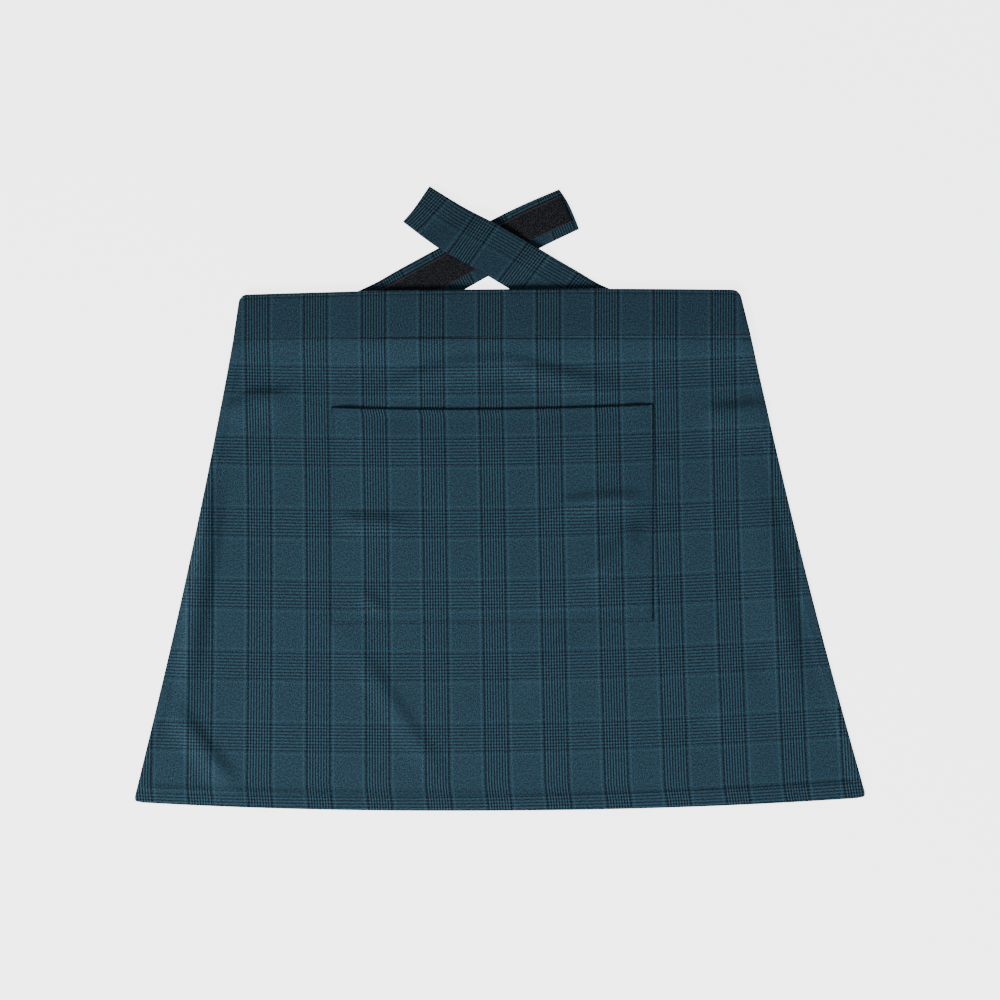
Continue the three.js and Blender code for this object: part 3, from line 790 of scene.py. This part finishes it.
def sewn_rows(name, form, rows, slot):
    """One piece with a stitch at each even step of each row. A row is a line of points on the cloth."""
    cloth = form.cloth
    stitch, stitch_faces = one_stitch(cloth)
    vertices, faces = [], []
    for row in rows:
        row = np.asarray(row) + [form.origin_x, form.origin_y, 0]
        along = np.concatenate([[0], np.cumsum(np.linalg.norm(np.diff(row, axis=0), axis=1))])
        count = int(along[-1] / (cloth.stitch + cloth.stitch_gap))
        for centre in (np.arange(count) + 0.5) * along[-1] / count:
            start, middle, end = (
                np.array([np.interp(at, along, row[:, k]) for k in range(3)])
                for at in (centre - cloth.stitch / 2, centre, centre + cloth.stitch / 2)
            )
            way = (end - start) / np.linalg.norm(end - start)
            aside = np.cross([0, 0, 1], way)
            aside /= np.linalg.norm(aside)
            frame_of = np.array([way, aside, np.cross(way, aside)])
            faces += [[corner + len(vertices) * len(stitch) for corner in face] for face in stitch_faces]
            vertices.append(middle + stitch @ frame_of)
    piece = link_mesh(name, np.concatenate(vertices), faces)
    place_piece(piece, finish_named("sewing_thread", sewing_thread, form.check), slot)


class Wire:
    """A socket of a material, so that shader maths reads as arithmetic."""

    def __init__(self, recipe, socket):
        self.recipe, self.socket = recipe, socket

    def maths(self, operation, *others, clamp=False):
        return self.recipe.maths(operation, self, *others, clamp=clamp)

    def __add__(self, other):
        return self.maths("ADD", other)

    def __sub__(self, other):
        return self.maths("SUBTRACT", other)

    def __mul__(self, other):
        return self.maths("MULTIPLY", other)

    def __truediv__(self, other):
        return self.maths("DIVIDE", other)

    def __neg__(self):
        return self.maths("MULTIPLY", -1)

    def __abs__(self):
        return self.maths("ABSOLUTE")

    def __radd__(self, other):
        return self.maths("ADD", other)

    def __rmul__(self, other):
        return self.maths("MULTIPLY", other)

    def __rsub__(self, other):
        return self.recipe.maths("SUBTRACT", other, self)

    def held(self):
        """The value kept from 0 to 1."""
        return self.maths("ADD", 0, clamp=True)


class Recipe:
    """A material and the means to wire it."""

    def __init__(self, name, roughness, **constants):
        self.material = bpy.data.materials.new(name)
        self.material.use_nodes = True
        self.tree = self.material.node_tree
        self.tree.nodes.clear()
        named = {key.replace("_", " ").title(): value for key, value in constants.items()}
        sockets = {"Roughness": roughness, **named, "Specular IOR Level": named["Specular"]}
        del sockets["Specular"]
        self.surface = self.node("ShaderNodeBsdfPrincipled", {}, sockets)
        self.node("ShaderNodeOutputMaterial", {}, {"Surface": self.surface.outputs["BSDF"]})

    def node(self, kind, settings, sockets):
        """A node with its settings, then the values or links of its sockets."""
        made = self.tree.nodes.new(kind)
        for key, value in settings.items():
            setattr(made, key, value)
        for key, value in sockets.items():
            self.feed(made.inputs[key], value)
        return made

    def feed(self, socket, value):
        if isinstance(value, Wire):
            value = value.socket
        if isinstance(value, bpy.types.NodeSocket):
            self.tree.links.new(value, socket)
        else:
            socket.default_value = value

    def maths(self, operation, *values, clamp=False):
        settings = {"operation": operation, "use_clamp": clamp}
        return Wire(self, self.node("ShaderNodeMath", settings, dict(enumerate(values))).outputs[0])

    def place(self):
        """The place on the cloth: across it, along it, and the distance from its edge."""
        read = self.node("ShaderNodeAttribute", {"attribute_name": "weave"}, {})
        parts = self.node("ShaderNodeSeparateXYZ", {}, {0: read.outputs["Vector"]})
        return read.outputs["Vector"], *(Wire(self, parts.outputs[k]) for k in range(3))

    def scaled(self, vector, factors):
        made = self.node("ShaderNodeVectorMath", {"operation": "MULTIPLY"}, {0: vector, 1: factors})
        return made.outputs[0]

    def noise(self, vector, detail=2.0):
        made = self.node("ShaderNodeTexNoise", {}, {"Vector": vector, "Scale": 1.0, "Detail": detail})
        return Wire(self, made.outputs["Fac"])

    def mixed(self, factor, first, second):
        """A mix of two colours."""
        sockets = {0: factor, 6: self.full(first), 7: self.full(second)}
        return self.node("ShaderNodeMix", {"data_type": "RGBA"}, sockets).outputs[2]

    def full(self, value):
        return value if isinstance(value, (Wire, bpy.types.NodeSocket)) else (*value, 1)

    def finish(self, colour, height=None, depth=0.1 * MM, strength=0.5):
        """Feeds the surface its colour, and its relief where it has one."""
        self.feed(self.surface.inputs["Base Color"], colour)
        if height is not None:
            sockets = {"Strength": strength, "Distance": depth, "Height": height}
            bump = self.node("ShaderNodeBump", {}, sockets)
            self.feed(self.surface.inputs["Normal"], bump.outputs["Normal"])
        return self.material


def line_group(at, period, pitch, end, outer):
    """Tone of one system of threads: -1 is a dark line, 1 a light one and 0 the plain ground."""
    aside = abs(at.maths("WRAP", period / 2, -period / 2))
    half_group = 4 * pitch
    wave = (aside * (2 * math.pi / pitch)).maths("COSINE") * LINE_SHARPNESS
    wave = wave.maths("MAXIMUM", -1).maths("MINIMUM", 1)
    inside = ((half_group - aside) / GROUP_SOFT + 0.5).held()
    inside_end = ((half_group + end - aside) / GROUP_SOFT + 0.5).held()
    outer_line = (OUTER_LINE["half"] - abs(aside - outer) / OUTER_LINE["soft"]).held()
    lines = inside * (wave * LINE_DEPTH + GROUP_SHADE)
    return outer_line * OUTER_LINE["light"] - lines - (inside_end - inside)


def check_cloth(check, name, shade=1.0, crosswise=True):
    """Dark teal twill in a glen check, or with its lengthwise groups alone."""
    # shade darkens every colour alike: painted shade that makes the band and the belts look less lit.
    ground, light, dark = (
        tuple(shade * channel for channel in tone) for tone in (check.ground, check.light, check.dark)
    )
    recipe = Recipe(name, 0.85, specular=0.16, sheen_weight=0.03, sheen_roughness=0.45)
    vector, across, along, edge = recipe.place()
    warp = line_group(across, check.warp_period, check.warp_pitch, check.warp_end, check.warp_outer)
    tone = warp * check.warp_share
    if crosswise:
        weft = line_group(along, check.weft_period, check.weft_pitch, check.weft_end, check.weft_outer)
        tone = tone + weft * (1 - check.warp_share)
    warp_yarn = recipe.noise(recipe.scaled(vector, WARP_YARN))
    weft_yarn = recipe.noise(recipe.scaled(vector, WEFT_YARN))
    fleck = recipe.noise(recipe.scaled(vector, FLECK), 3.0)
    cloudy = recipe.noise(recipe.scaled(vector, CLOUD))
    uneven = (warp_yarn - 0.5) * YARN_TONE["warp"] + (weft_yarn - 0.5) * YARN_TONE["weft"]
    uneven = uneven + (fleck - 0.5) * YARN_TONE["fleck"] + (cloudy - 0.5) * YARN_TONE["cloud"]
    # Painted shade, darkest at each edge of the piece
    painted_edge_shade = (1 - edge / SEAM_SHADE["reach"]).held() * SEAM_SHADE["deep"]
    tone = tone + uneven * check.grain - painted_edge_shade
    lit = recipe.mixed(tone.held(), ground, light)
    shown = recipe.mixed((-tone).held(), lit, dark)
    twill = ((across + along) * (2 * math.pi / TWILL["wave"])).maths("SINE")
    height = twill * TWILL["high"] + warp_yarn + weft_yarn
    return recipe.finish(shown, height, **CLOTH_BUMP)


def sewing_thread(check):
    """Matt twisted thread."""
    recipe = Recipe("sewing_thread", 0.7, specular=0.25, sheen_weight=0.05)
    vector = recipe.node("ShaderNodeTexCoord", {}, {}).outputs["Object"]
    twist = recipe.noise(recipe.scaled(vector, THREAD_TWIST))
    # The thread's dark colour is partly painted shade along the seams.
    lighter = tuple(THREAD_LIGHTER * channel for channel in check.sewing)
    return recipe.finish(recipe.mixed(twist, check.sewing, lighter), twist, **THREAD_BUMP)


def loop_tape(check, half_width):
    """Black napped tape: tangled fibres inside two plain woven edges."""
    recipe = Recipe("napped_loops", 0.95, specular=0.06, sheen_weight=0.02, sheen_roughness=0.6)
    vector, along, across, _ = recipe.place()
    tangle = recipe.noise(recipe.scaled(vector, LOOP_TANGLE), 4.0)
    patches = recipe.noise(recipe.scaled(vector, LOOP_PATCHES))
    fibres = (tangle - 0.5) * LOOP_TONE["tangle"] + (patches - 0.5) * LOOP_TONE["patches"]
    fibres = (fibres + LOOP_TONE["middle"]).held()
    nap = recipe.mixed(fibres, check.loops, check.loops_light)
    ribs = ((along * (2 * math.pi / RIB_WAVE)).maths("SINE") + 1) * 0.25
    upper_edge = ((across - half_width + SELVEDGE_UPPER["wide"]) / SELVEDGE_UPPER["soft"]).held()
    lower_edge = ((-across - half_width + SELVEDGE_LOWER["wide"]) / SELVEDGE_LOWER["soft"]).held()
    edging = recipe.mixed(ribs, check.selvedge, check.loops)
    shown = recipe.mixed(upper_edge + lower_edge * SELVEDGE_LOWER["share"], nap, edging)
    return recipe.finish(shown, tangle + ribs * 0.2, **LOOP_BUMP)


def hook_tape(check):
    """Black tape with rows of fine hooks."""
    recipe = Recipe("fine_hooks", 0.6, specular=0.3)
    _, along, across, _ = recipe.place()
    row = ((along * (2 * math.pi / HOOK_ROW)).maths("SINE") + 1) * 0.5
    column = ((across * (2 * math.pi / HOOK_COLUMN)).maths("SINE") + 1) * 0.5
    hooks = row * column
    return recipe.finish(recipe.mixed(hooks, check.loops, check.loops_light), hooks, **HOOK_BUMP)


def pale_floor(studio):
    """Pale matt floor that stays bright round the dark cloth."""
    recipe = Recipe("pale_floor", 0.9, specular=0.1)
    vector = recipe.node("ShaderNodeTexCoord", {}, {}).outputs["Object"]
    grain = recipe.noise(recipe.scaled(vector, (3, 3, 3)))
    paler = tuple(FLOOR_LIGHTER * channel for channel in studio.floor)
    recipe.surface.inputs["Emission Color"].default_value = (1, 1, 1, 1)
    recipe.surface.inputs["Emission Strength"].default_value = FLOOR_GLOW
    return recipe.finish(recipe.mixed(grain, studio.floor, paler))


def finish_named(name, make, *values):
    """A material that is made once and then shared."""
    return bpy.data.materials.get(name) or make(*values)


class APRON_OT_stage(bpy.types.Operator):
    """Adds the floor, the soft lights and the camera"""

    bl_idname = "apron.stage"
    bl_label = "Stage"

    def execute(self, context):
        studio = context.scene.apron_studio
        deselect_all()
        bpy.ops.mesh.primitive_plane_add(size=FLOOR_SIZE, location=(0, 0, -FLOOR_DROP))
        bpy.ops.object.transform_apply(location=True, rotation=False, scale=False)
        floor = context.object
        floor.name = "floor"
        floor.data.materials.append(pale_floor(studio))
        world = bpy.data.worlds.new("soft_sky")
        world.use_nodes = True
        sky = world.node_tree.nodes["Background"]
        sky.inputs["Color"].default_value = (1, 1, 1, 1)
        sky.inputs["Strength"].default_value = studio.sky
        context.scene.world = world
        self.add_light("key_light", studio.key, **KEY_LIGHT)
        self.add_light("fill_light", studio.fill, **FILL_LIGHT)
        camera_data = bpy.data.cameras.new("camera")
        camera_data.sensor_width = 36
        shown_width = FRAME_PIXELS * studio.photo_scale
        camera_data.lens = camera_data.sensor_width * studio.camera_height / shown_width
        camera_data.clip_end = 60
        camera = bpy.data.objects.new("camera", camera_data)
        camera.location = (*CAMERA_PLACE, studio.camera_height)
        context.scene.collection.objects.link(camera)
        context.scene.camera = camera
        return {"FINISHED"}

    def add_light(self, name, energy, size, place):
        light = bpy.data.lights.new(name, "AREA")
        light.energy, light.size = energy, size
        lamp = bpy.data.objects.new(name, light)
        lamp.location = place
        lamp.rotation_mode = "QUATERNION"
        lamp.rotation_quaternion = (-Vector(place)).to_track_quat("-Z", "Y")
        bpy.context.scene.collection.objects.link(lamp)


class APRON_OT_panel(bpy.types.Operator):
    """Adds the flared panel with its turned hem and sides"""

    bl_idname = "apron.panel"
    bl_label = "Panel"

    def execute(self, context):
        form = Form(context.scene)
        cloth, panel = form.cloth, form.panel
        radius = (cloth.thickness + cloth.turned) / 2
        close = [line * radius for line in EDGE_LINES]
        side_lines = [*close, SIDE_COLUMN, panel.side_hem - SIDE_TURN, panel.side_hem + SIDE_TURN]
        columns = edged_lines(2 * form.half_hem, side_lines, cloth.step)
        hem = panel.drop - np.array([panel.hem + HEM_TURN, panel.hem - HEM_TURN, *HEM_ROWS])
        foot = panel.drop - np.array(close[::-1])
        open_rows = even_lines(OPEN_FROM, hem[0] - cloth.step, cloth.step)
        rows = np.concatenate([-PANEL_IN_FOLD + np.array(close), SEAM_ROWS, open_rows, hem, foot])
        column, down = np.meshgrid(columns, rows)
        part = column / (2 * form.half_hem)
        side = 2 * part - 1
        left, right = form.panel_edges(down / panel.drop)
        width = right - left
        from_side, from_hem = np.minimum(part, 1 - part) * width, panel.drop - down
        inset, raised = round_off(from_side, from_hem, panel.corner)
        x = left + width * part + (inset - from_side) * np.where(side < 0, 1, -1)
        y = self.cloth_line(form, side, panel.drop - raised)
        under = form.panel_under(x, y)
        edge = np.minimum(np.minimum(from_side, from_hem), down - rows[0])
        in_hem = ease((panel.hem - from_hem) / (1.6 * MM) + 0.5)
        in_side = ease((panel.side_hem - from_side) / (1.4 * MM) + 0.5) * ease(down / (6 * MM))
        turned = cloth.turned * np.maximum(in_hem, in_side)
        seam = ease(1 - np.abs(from_hem - panel.hem + HEM_SEAM_INSET) / HEM_PUCKER["reach"])
        wave = 1 + HEM_PUCKER["swing"] * np.sin(x * 2 * np.pi / HEM_PUCKER["wave"])
        pucker = HEM_PUCKER["deep"] * seam * wave
        over = under + cloth.thickness + turned - pucker
        piece = laid_sheet("skirt_panel_cloth", form, x, y, under, over, edge, radius, form.weave(x, y))
        material = finish_named("glen_check", check_cloth, form.check, "glen_check")
        place_piece(piece, material, "check_cloth", "skirt_panel")
        self.sew(form)
        return {"FINISHED"}

    def cloth_line(self, form, side, down):
        """Y of the cloth at a distance below the seam, or above it inside the band."""
        seam = form.seam_line(side)
        inside = seam + (form.top_line(side) - seam) * -down / form.band.height
        return np.where(down < 0, inside, seam + (form.hem_line(side) - seam) * down / form.panel.drop)

    def sew(self, form):
        """Stitching along the hem and both sides."""
        panel, cloth = form.panel, form.cloth
        side = np.linspace(-HEM_STITCHED, HEM_STITCHED, 240)
        down = np.full(side.shape, panel.drop - panel.hem + HEM_SEAM_INSET)
        left, right = form.panel_edges(down / panel.drop)
        x = left + (right - left) * (side + 1) / 2
        lines = [(x, self.cloth_line(form, side, down))]
        for sign in (-1, 1):
            fall = np.linspace(4 * MM, panel.drop - panel.hem, 160)
            left, right = form.panel_edges(fall / panel.drop)
            inset = panel.side_hem - SIDE_SEAM_INSET
            x = left + inset if sign < 0 else right - inset
            lines.append((x, self.cloth_line(form, np.full(fall.shape, SIDE_STITCHED * sign), fall)))
        rows = []
        for x, y in lines:
            top = form.panel_under(x, y) + cloth.thickness + cloth.turned
            rows.append(np.stack([x, y, top + PANEL_STITCH_RISE], axis=-1))
        sewn_rows("panel_stitching", form, rows, "check_cloth")


class APRON_OT_pocket(bpy.types.Operator):
    """Adds the patch pocket with its slack cloth and open mouth"""

    bl_idname = "apron.pocket"
    bl_label = "Pocket"

    def plan(self, form, across, from_mouth):
        """X and Y of a point of the pocket, from its share across and its distance from the mouth."""
        pocket = form.pocket
        from_foot = pocket.height - from_mouth
        sag = pocket.mouth_sag * (1 - across**2) * from_foot / pocket.height
        top = -pocket.drop + pocket.tilt / 2 * across
        y = top - sag - from_mouth * (1 - sag / pocket.height * from_mouth / pocket.height)
        return across * pocket.width / 2, y

    def under(self, form, x, y, from_side, from_mouth):
        pocket, cloth = form.pocket, form.cloth
        from_foot = pocket.height - from_mouth
        panel_top = form.panel_under(x, y) + cloth.thickness
        slack = pocket.slack * ease(from_side / pocket.slack_reach) * ease(from_foot / pocket.slack_reach)
        by_mouth = MOUTH_SLACK + (1 - MOUTH_SLACK) * ease(from_mouth / MOUTH_SETTLES)
        half = pocket.mouth_reach / 2
        lift = pocket.mouth_lift * ease(1 - np.abs(from_side - half) / half)
        lift = lift * ease(1 - from_mouth / pocket.mouth_reach)
        loose = fold_height(POCKET_FOLDS, x, y, pocket.width / 2, -pocket.drop, pocket.height)
        loose = loose + form.ripple(x, y, 11)
        free = ease(from_side / POCKET_FREE) * ease(from_foot / POCKET_FREE)
        return panel_top + pocket.seam_gap + lift + (slack + loose * free) * by_mouth

    def execute(self, context):
        form = Form(context.scene)
        pocket, cloth = form.pocket, form.cloth
        radius = (cloth.thickness + cloth.turned) / 2
        close = [line * radius for line in EDGE_LINES]
        by_edge = [*close, *POCKET_LINES]
        columns = edged_lines(pocket.width, [*by_edge, POCKET_COLUMN], cloth.step * 0.8)
        rows = edged_lines(pocket.height, [*by_edge, pocket.mouth_hem + 1 * MM], cloth.step * 0.8)
        column, from_mouth = np.meshgrid(columns, rows)
        across = 2 * column / pocket.width - 1
        from_side = np.minimum(column, pocket.width - column)
        from_foot = pocket.height - from_mouth
        x, y = self.plan(form, across, from_mouth)
        under = self.under(form, x, y, from_side, from_mouth)
        edge = np.minimum(np.minimum(from_side, from_foot), from_mouth)
        turned = MOUTH_TURNED * ease((pocket.mouth_hem - from_mouth) / (1.6 * MM) + 0.5)
        sewn = np.minimum(from_side, from_foot)
        by_seams = SEWN_TURNED["high"] * ease((SEWN_TURNED["wide"] - sewn) / SEWN_TURNED["over"])
        seam = ease(1 - np.abs(sewn - pocket.stitch_inset) / POCKET_DITCH["reach"])
        seam = seam * ease(from_mouth / (2 * MM))
        over = under + cloth.thickness + np.maximum(turned, by_seams) - POCKET_DITCH["deep"] * seam
        u, v = form.weave(x, y)
        v = v + FOLD_SHIFT * fold_height(POCKET_FOLDS, x, y, pocket.width / 2, -pocket.drop, pocket.height)
        pull = MOUTH_PULL * ease(1 - from_mouth / MOUTH_PULL_OVER) * (0.6 - 0.4 * across)
        piece = laid_sheet("pocket_cloth", form, x, y, under, over, edge, radius, (u + pull, v))
        material = finish_named("glen_check", check_cloth, form.check, "glen_check")
        place_piece(piece, material, "check_cloth", "pocket")
        self.sew(form)
        return {"FINISHED"}

    def sew(self, form):
        """Stitching round the sides and the foot."""
        pocket, cloth = form.pocket, form.cloth
        inset = pocket.stitch_inset
        side = 1 - 2 * inset / pocket.width
        down = np.linspace(1.2 * MM, pocket.height - inset, 110)
        across = np.linspace(-side, side, 150)
        paths = [(np.full(down.shape, -side), down), (np.full(down.shape, side), down)]
        paths.append((across, np.full(across.shape, pocket.height - inset)))
        rows = []
        for part, from_mouth in paths:
            x, y = self.plan(form, part, from_mouth)
            from_side = (1 - np.abs(part)) * pocket.width / 2
            top = self.under(form, x, y, from_side, from_mouth) + cloth.thickness
            rows.append(np.stack([x, y, top + POCKET_STITCH_RISE], axis=-1))
        sewn_rows("pocket_stitching", form, rows, "check_cloth")


class APRON_OT_waistband(bpy.types.Operator):
    """Adds the folded waistband"""

    bl_idname = "apron.waistband"
    bl_label = "Waistband"

    def height_of_face(self, form, x, drop):
        """Height of the band's face over its underside, at a distance below the top fold."""
        band = form.band
        at_seam = form.panel_held(x) - form.band_under(x) + form.cloth.thickness + BAND_AT_SEAM
        from_groove = np.abs(drop - band.top_stitch - BAND_GROOVE["below"])
        groove = BAND_GROOVE["deep"] * ease(1 - from_groove / BAND_GROOVE["reach"])
        narrowing = ease((drop - band.height + BAND_NARROWS) / BAND_NARROWS)
        return band.thick + (at_seam - band.thick) * narrowing - groove

    def section(self, form):
        """The folded strip from its back edge over the top fold to its front edge: drop, and share
        of the way from the underside (0) to the face (1)."""
        band = form.band
        radius = form.cloth.thickness / 2
        turn = np.linspace(-math.pi / 2, math.pi / 2, 11)
        edge = [band.height - line * radius for line in EDGE_LINES]
        middle = even_lines(band.height - 2.4 * MM, 5.6 * MM, 0.8 * form.cloth.step)
        straight = np.concatenate([edge, middle, STITCH_ROWS])
        drops = np.concatenate([straight, BAND_FOLD * (1 - np.cos(turn)), straight[::-1]])
        levels = np.concatenate([np.zeros(len(straight)), (1 + np.sin(turn)) / 2, np.ones(len(straight))])
        return drops, levels

    def execute(self, context):
        form = Form(context.scene)
        band, cloth = form.band, form.cloth
        drops, levels = self.section(form)
        close = [line * 1.2 * MM for line in EDGE_LINES]
        stations = edged_lines(band.width, [*close, 2.4 * MM, 4 * MM, band.corner], cloth.step)
        station, drop = np.meshgrid(stations, drops)
        level = np.repeat(levels[:, None], len(stations), axis=1)
        part = station / band.width
        side = 2 * part - 1
        from_end = np.minimum(station, band.width - station)
        inset, lowered = round_off(from_end, drop, band.corner)
        moved = (inset - from_end) * np.where(side < 0, 1, -1)
        up = 1 - lowered / band.height
        left, right = form.band_edges(up)
        x = left + (right - left) * part + moved
        y = form.seam_line(side) + (form.top_line(side) - form.seam_line(side)) * up
        half = cloth.thickness / 2
        full = self.height_of_face(form, x, drop) + form.band_ripple(x, y)
        shut = 2 * half + 0.05 * MM
        spread = shut / 2 + (full / 2 - half - shut / 2) * rounded(from_end, 5 * MM)
        height = full / 2 + (2 * level - 1) * spread
        run, climb = np.gradient(drop, axis=0), np.gradient(height, axis=0)
        size = np.maximum(np.hypot(run, climb), 1e-9)
        edge = np.minimum(from_end, self.from_border(drops)[:, None])
        reach = half * rounded(edge, half * 1.4)
        base = form.band_under(x) + height
        shift = np.array([form.origin_x, form.origin_y, 0])
        outer, inner = (
            np.stack([x, y + way * climb / size * reach, base + way * run / size * reach], axis=-1) + shift
            for way in (1, -1)
        )
        u = (x - WARP_START - BAND_WARP_SHIFT) / BAND_WARP_PERIOD * form.check.warp_period
        weave = np.stack([u, drop * np.where(level > 0.5, 1, -1), edge], axis=-1)
        piece = thin_sheet("waistband_cloth", outer, inner, weave)
        # The band's cloth is a darker copy of the check: painted shade.
        material = check_cloth(form.check, "band_check_painted_shade", form.check.band_painted_shade, crosswise=False)
        place_piece(piece, material, "band_cloth", "waistband")
        self.sew(form)
        return {"FINISHED"}

    def from_border(self, drops):
        """Distance along the strip from its nearer long edge."""
        along = np.concatenate([[0], np.cumsum(np.abs(np.diff(drops)))])
        return np.minimum(along, along[-1] - along)

    def sew(self, form):
        """Topstitching below the top fold and along the lower seam."""
        band = form.band
        rows = []
        for drop in (band.top_stitch, band.height - BAND_SEAM_INSET):
            part = np.linspace(*BAND_STITCHED, 260)
            side = 2 * part - 1
            up = 1 - drop / band.height
            left, right = form.band_edges(up)
            x = left + (right - left) * part
            y = form.seam_line(side) + (form.top_line(side) - form.seam_line(side)) * up
            face = self.height_of_face(form, x, np.full(x.shape, drop))
            top = form.band_under(x) + face + form.band_ripple(x, y)
            rows.append(np.stack([x, y, top + BAND_STITCH_RISE], axis=-1))
        sewn_rows("band_stitching", form, rows, "band_cloth")


class APRON_OT_belts(bpy.types.Operator):
    """Adds both belts"""

    bl_idname = "apron.belts"
    bl_label = "Belts"

    def execute(self, context):
        form = Form(context.scene)
        # The belts' cloth is a darker copy of the check: painted shade.
        material = check_cloth(form.check, "belt_check_painted_shade", form.check.belt_painted_shade)
        jobs = (
            ("left_belt", form.left, LEFT_BELT_CHECK, form.left_under, ["floor"]),
            ("right_belt", form.right, RIGHT_BELT_CHECK, form.right_under, ["left_belt_cloth", "loop_tape"]),
        )
        for node, route, pattern, under_at, rests_on in jobs:
            piece = self.belt(form, node + "_cloth", route, pattern, under_at)
            place_piece(piece, material, "check_cloth", node)
        return {"FINISHED"}

    def belt(self, form, name, route, pattern, under_at):
        belts = form.belts
        radius = belts.thick / 2
        close = [line * radius for line in EDGE_LINES]
        stations = edged_lines(route.length, close, BELT_STEP)
        sides = edged_lines(belts.width, close, BELT_STEP) / belts.width * 2 - 1
        side, along = np.meshgrid(sides, stations)
        upper = pattern["up"] * side
        shift = np.where(upper > 0, -pattern["back"], pattern["on"]) * upper**2
        near_end = ease((along - route.length + END_REACH) / END_REACH)
        edge = np.minimum((1 - np.abs(side)) * belts.width / 2, np.minimum(along, route.length - along))
        out = side * route.at(along)[..., 2] / 2
        x, y = route.place(along, out)
        way = route.direction(along)
        x, y = x + way[..., 0] * shift * near_end, y + way[..., 1] * shift * near_end
        under = under_at(x, y, along)
        upward = pattern["up"] * out
        u = route.length - along - pattern["first"] - pattern["lean"] * upward
        v = upward - pattern["aside"]
        return laid_sheet(name, form, x, y, under, under + belts.thick, edge, radius, (u, v))


class APRON_OT_tapes(bpy.types.Operator):
    """Adds the loop tape on the left belt and the hook tape under the right one"""

    bl_idname = "apron.tapes"
    bl_label = "Tapes"

    def execute(self, context):
        form = Form(context.scene)
        belts = form.belts
        half = belts.tape_width / 2
        nap = np.random.default_rng(NAP_SEED)
        ends = (form.loop_start, form.loop_end)
        shift = belts.tape_shift
        loops = self.tape(form, "loop_tape", form.left, ends, shift, LOOP_STEP, form.loop_under, nap)
        place_piece(loops, loop_tape(form.check, half), "loop_tape", "loop_strip")
        ends = (form.hook_start(), form.hook_start() + belts.hook_length)
        hooks = self.tape(form, "hook_tape", form.right, ends, 0.0, HOOK_STEP, form.hook_under)
        place_piece(hooks, hook_tape(form.check), "hook_tape", "hook_strip")
        inner, end = half - TAPE_STITCH_INSET, form.loop_end - TAPE_STITCH_INSET
        along = np.linspace(form.loop_start + 2 * MM, end, 120)
        across = np.linspace(-inner, inner, 24)
        paths = [(along, inner), (along, -inner), (np.full(across.shape, end), across)]
        rows = []
        for way, out in paths:
            x, y = form.left.place(way, shift + out)
            top = form.tape_top + form.belt_ripple(x, y, LEFT_BELT_SEED)
            rows.append(np.stack([x, y, top + TAPE_STITCH_RISE], axis=-1))
        sewn_rows("tape_stitching", form, rows, "loop_tape")
        return {"FINISHED"}

    def tape(self, form, name, route, ends, shift, step, under_at, nap=None):
        belts = form.belts
        start, end = ends
        radius = belts.tape_thick / 2
        close = [line * radius for line in EDGE_LINES]
        stations = start + edged_lines(end - start, close, step)
        outs = edged_lines(belts.tape_width, close, step) - belts.tape_width / 2
        out, along = np.meshgrid(outs, stations)
        x, y = route.place(along, shift + out)
        under = under_at(x, y)
        edge = np.minimum(belts.tape_width / 2 - np.abs(out), np.minimum(along - start, end - along))
        over = under + belts.tape_thick
        if nap is not None:
            over = over + NAP * nap.random(x.shape) * ease((edge - NAP_FROM) / (1 * MM))
        return laid_sheet(name, form, x, y, under, over, edge, radius, (along, out))


class APRON_PT_sidebar(bpy.types.Panel):
    """Lists the apron's pieces"""

    bl_idname = "APRON_PT_sidebar"
    bl_label = "Waiter Apron"
    bl_space_type = "VIEW_3D"
    bl_region_type = "UI"
    bl_category = "Apron"

    def draw(self, context):
        for operator in OPERATORS:
            self.layout.operator(operator.bl_idname)
        for name in SETTINGS:
            box = self.layout.box()
            group = getattr(context.scene, name)
            for key in group.bl_rna.properties.keys():
                if key not in ("rna_type", "name"):
                    box.prop(group, key)


SETTINGS = {
    "apron_cloth": ApronCloth,
    "apron_band": ApronBand,
    "apron_panel": ApronPanel,
    "apron_pocket": ApronPocket,
    "apron_belts": ApronBelts,
    "apron_check": ApronCheck,
    "apron_studio": ApronStudio,
}
OPERATORS = (
    APRON_OT_stage,
    APRON_OT_belts,
    APRON_OT_tapes,
    APRON_OT_panel,
    APRON_OT_pocket,
    APRON_OT_waistband,
)


def register():
    for made in (*SETTINGS.values(), *OPERATORS, APRON_PT_sidebar):
        bpy.utils.register_class(made)
    for name, group in SETTINGS.items():
        setattr(bpy.types.Scene, name, PointerProperty(type=group))


def unregister():
    for name in SETTINGS:
        delattr(bpy.types.Scene, name)
    for made in (APRON_PT_sidebar, *reversed(OPERATORS), *reversed(SETTINGS.values())):
        bpy.utils.unregister_class(made)


def main():
    """Builds the whole apron."""
    register()
    bpy.ops.apron.stage()
    bpy.ops.apron.belts()
    bpy.ops.apron.tapes()
    bpy.ops.apron.panel()
    bpy.ops.apron.pocket()
    bpy.ops.apron.waistband()


if __name__ == "__main__":
    main()
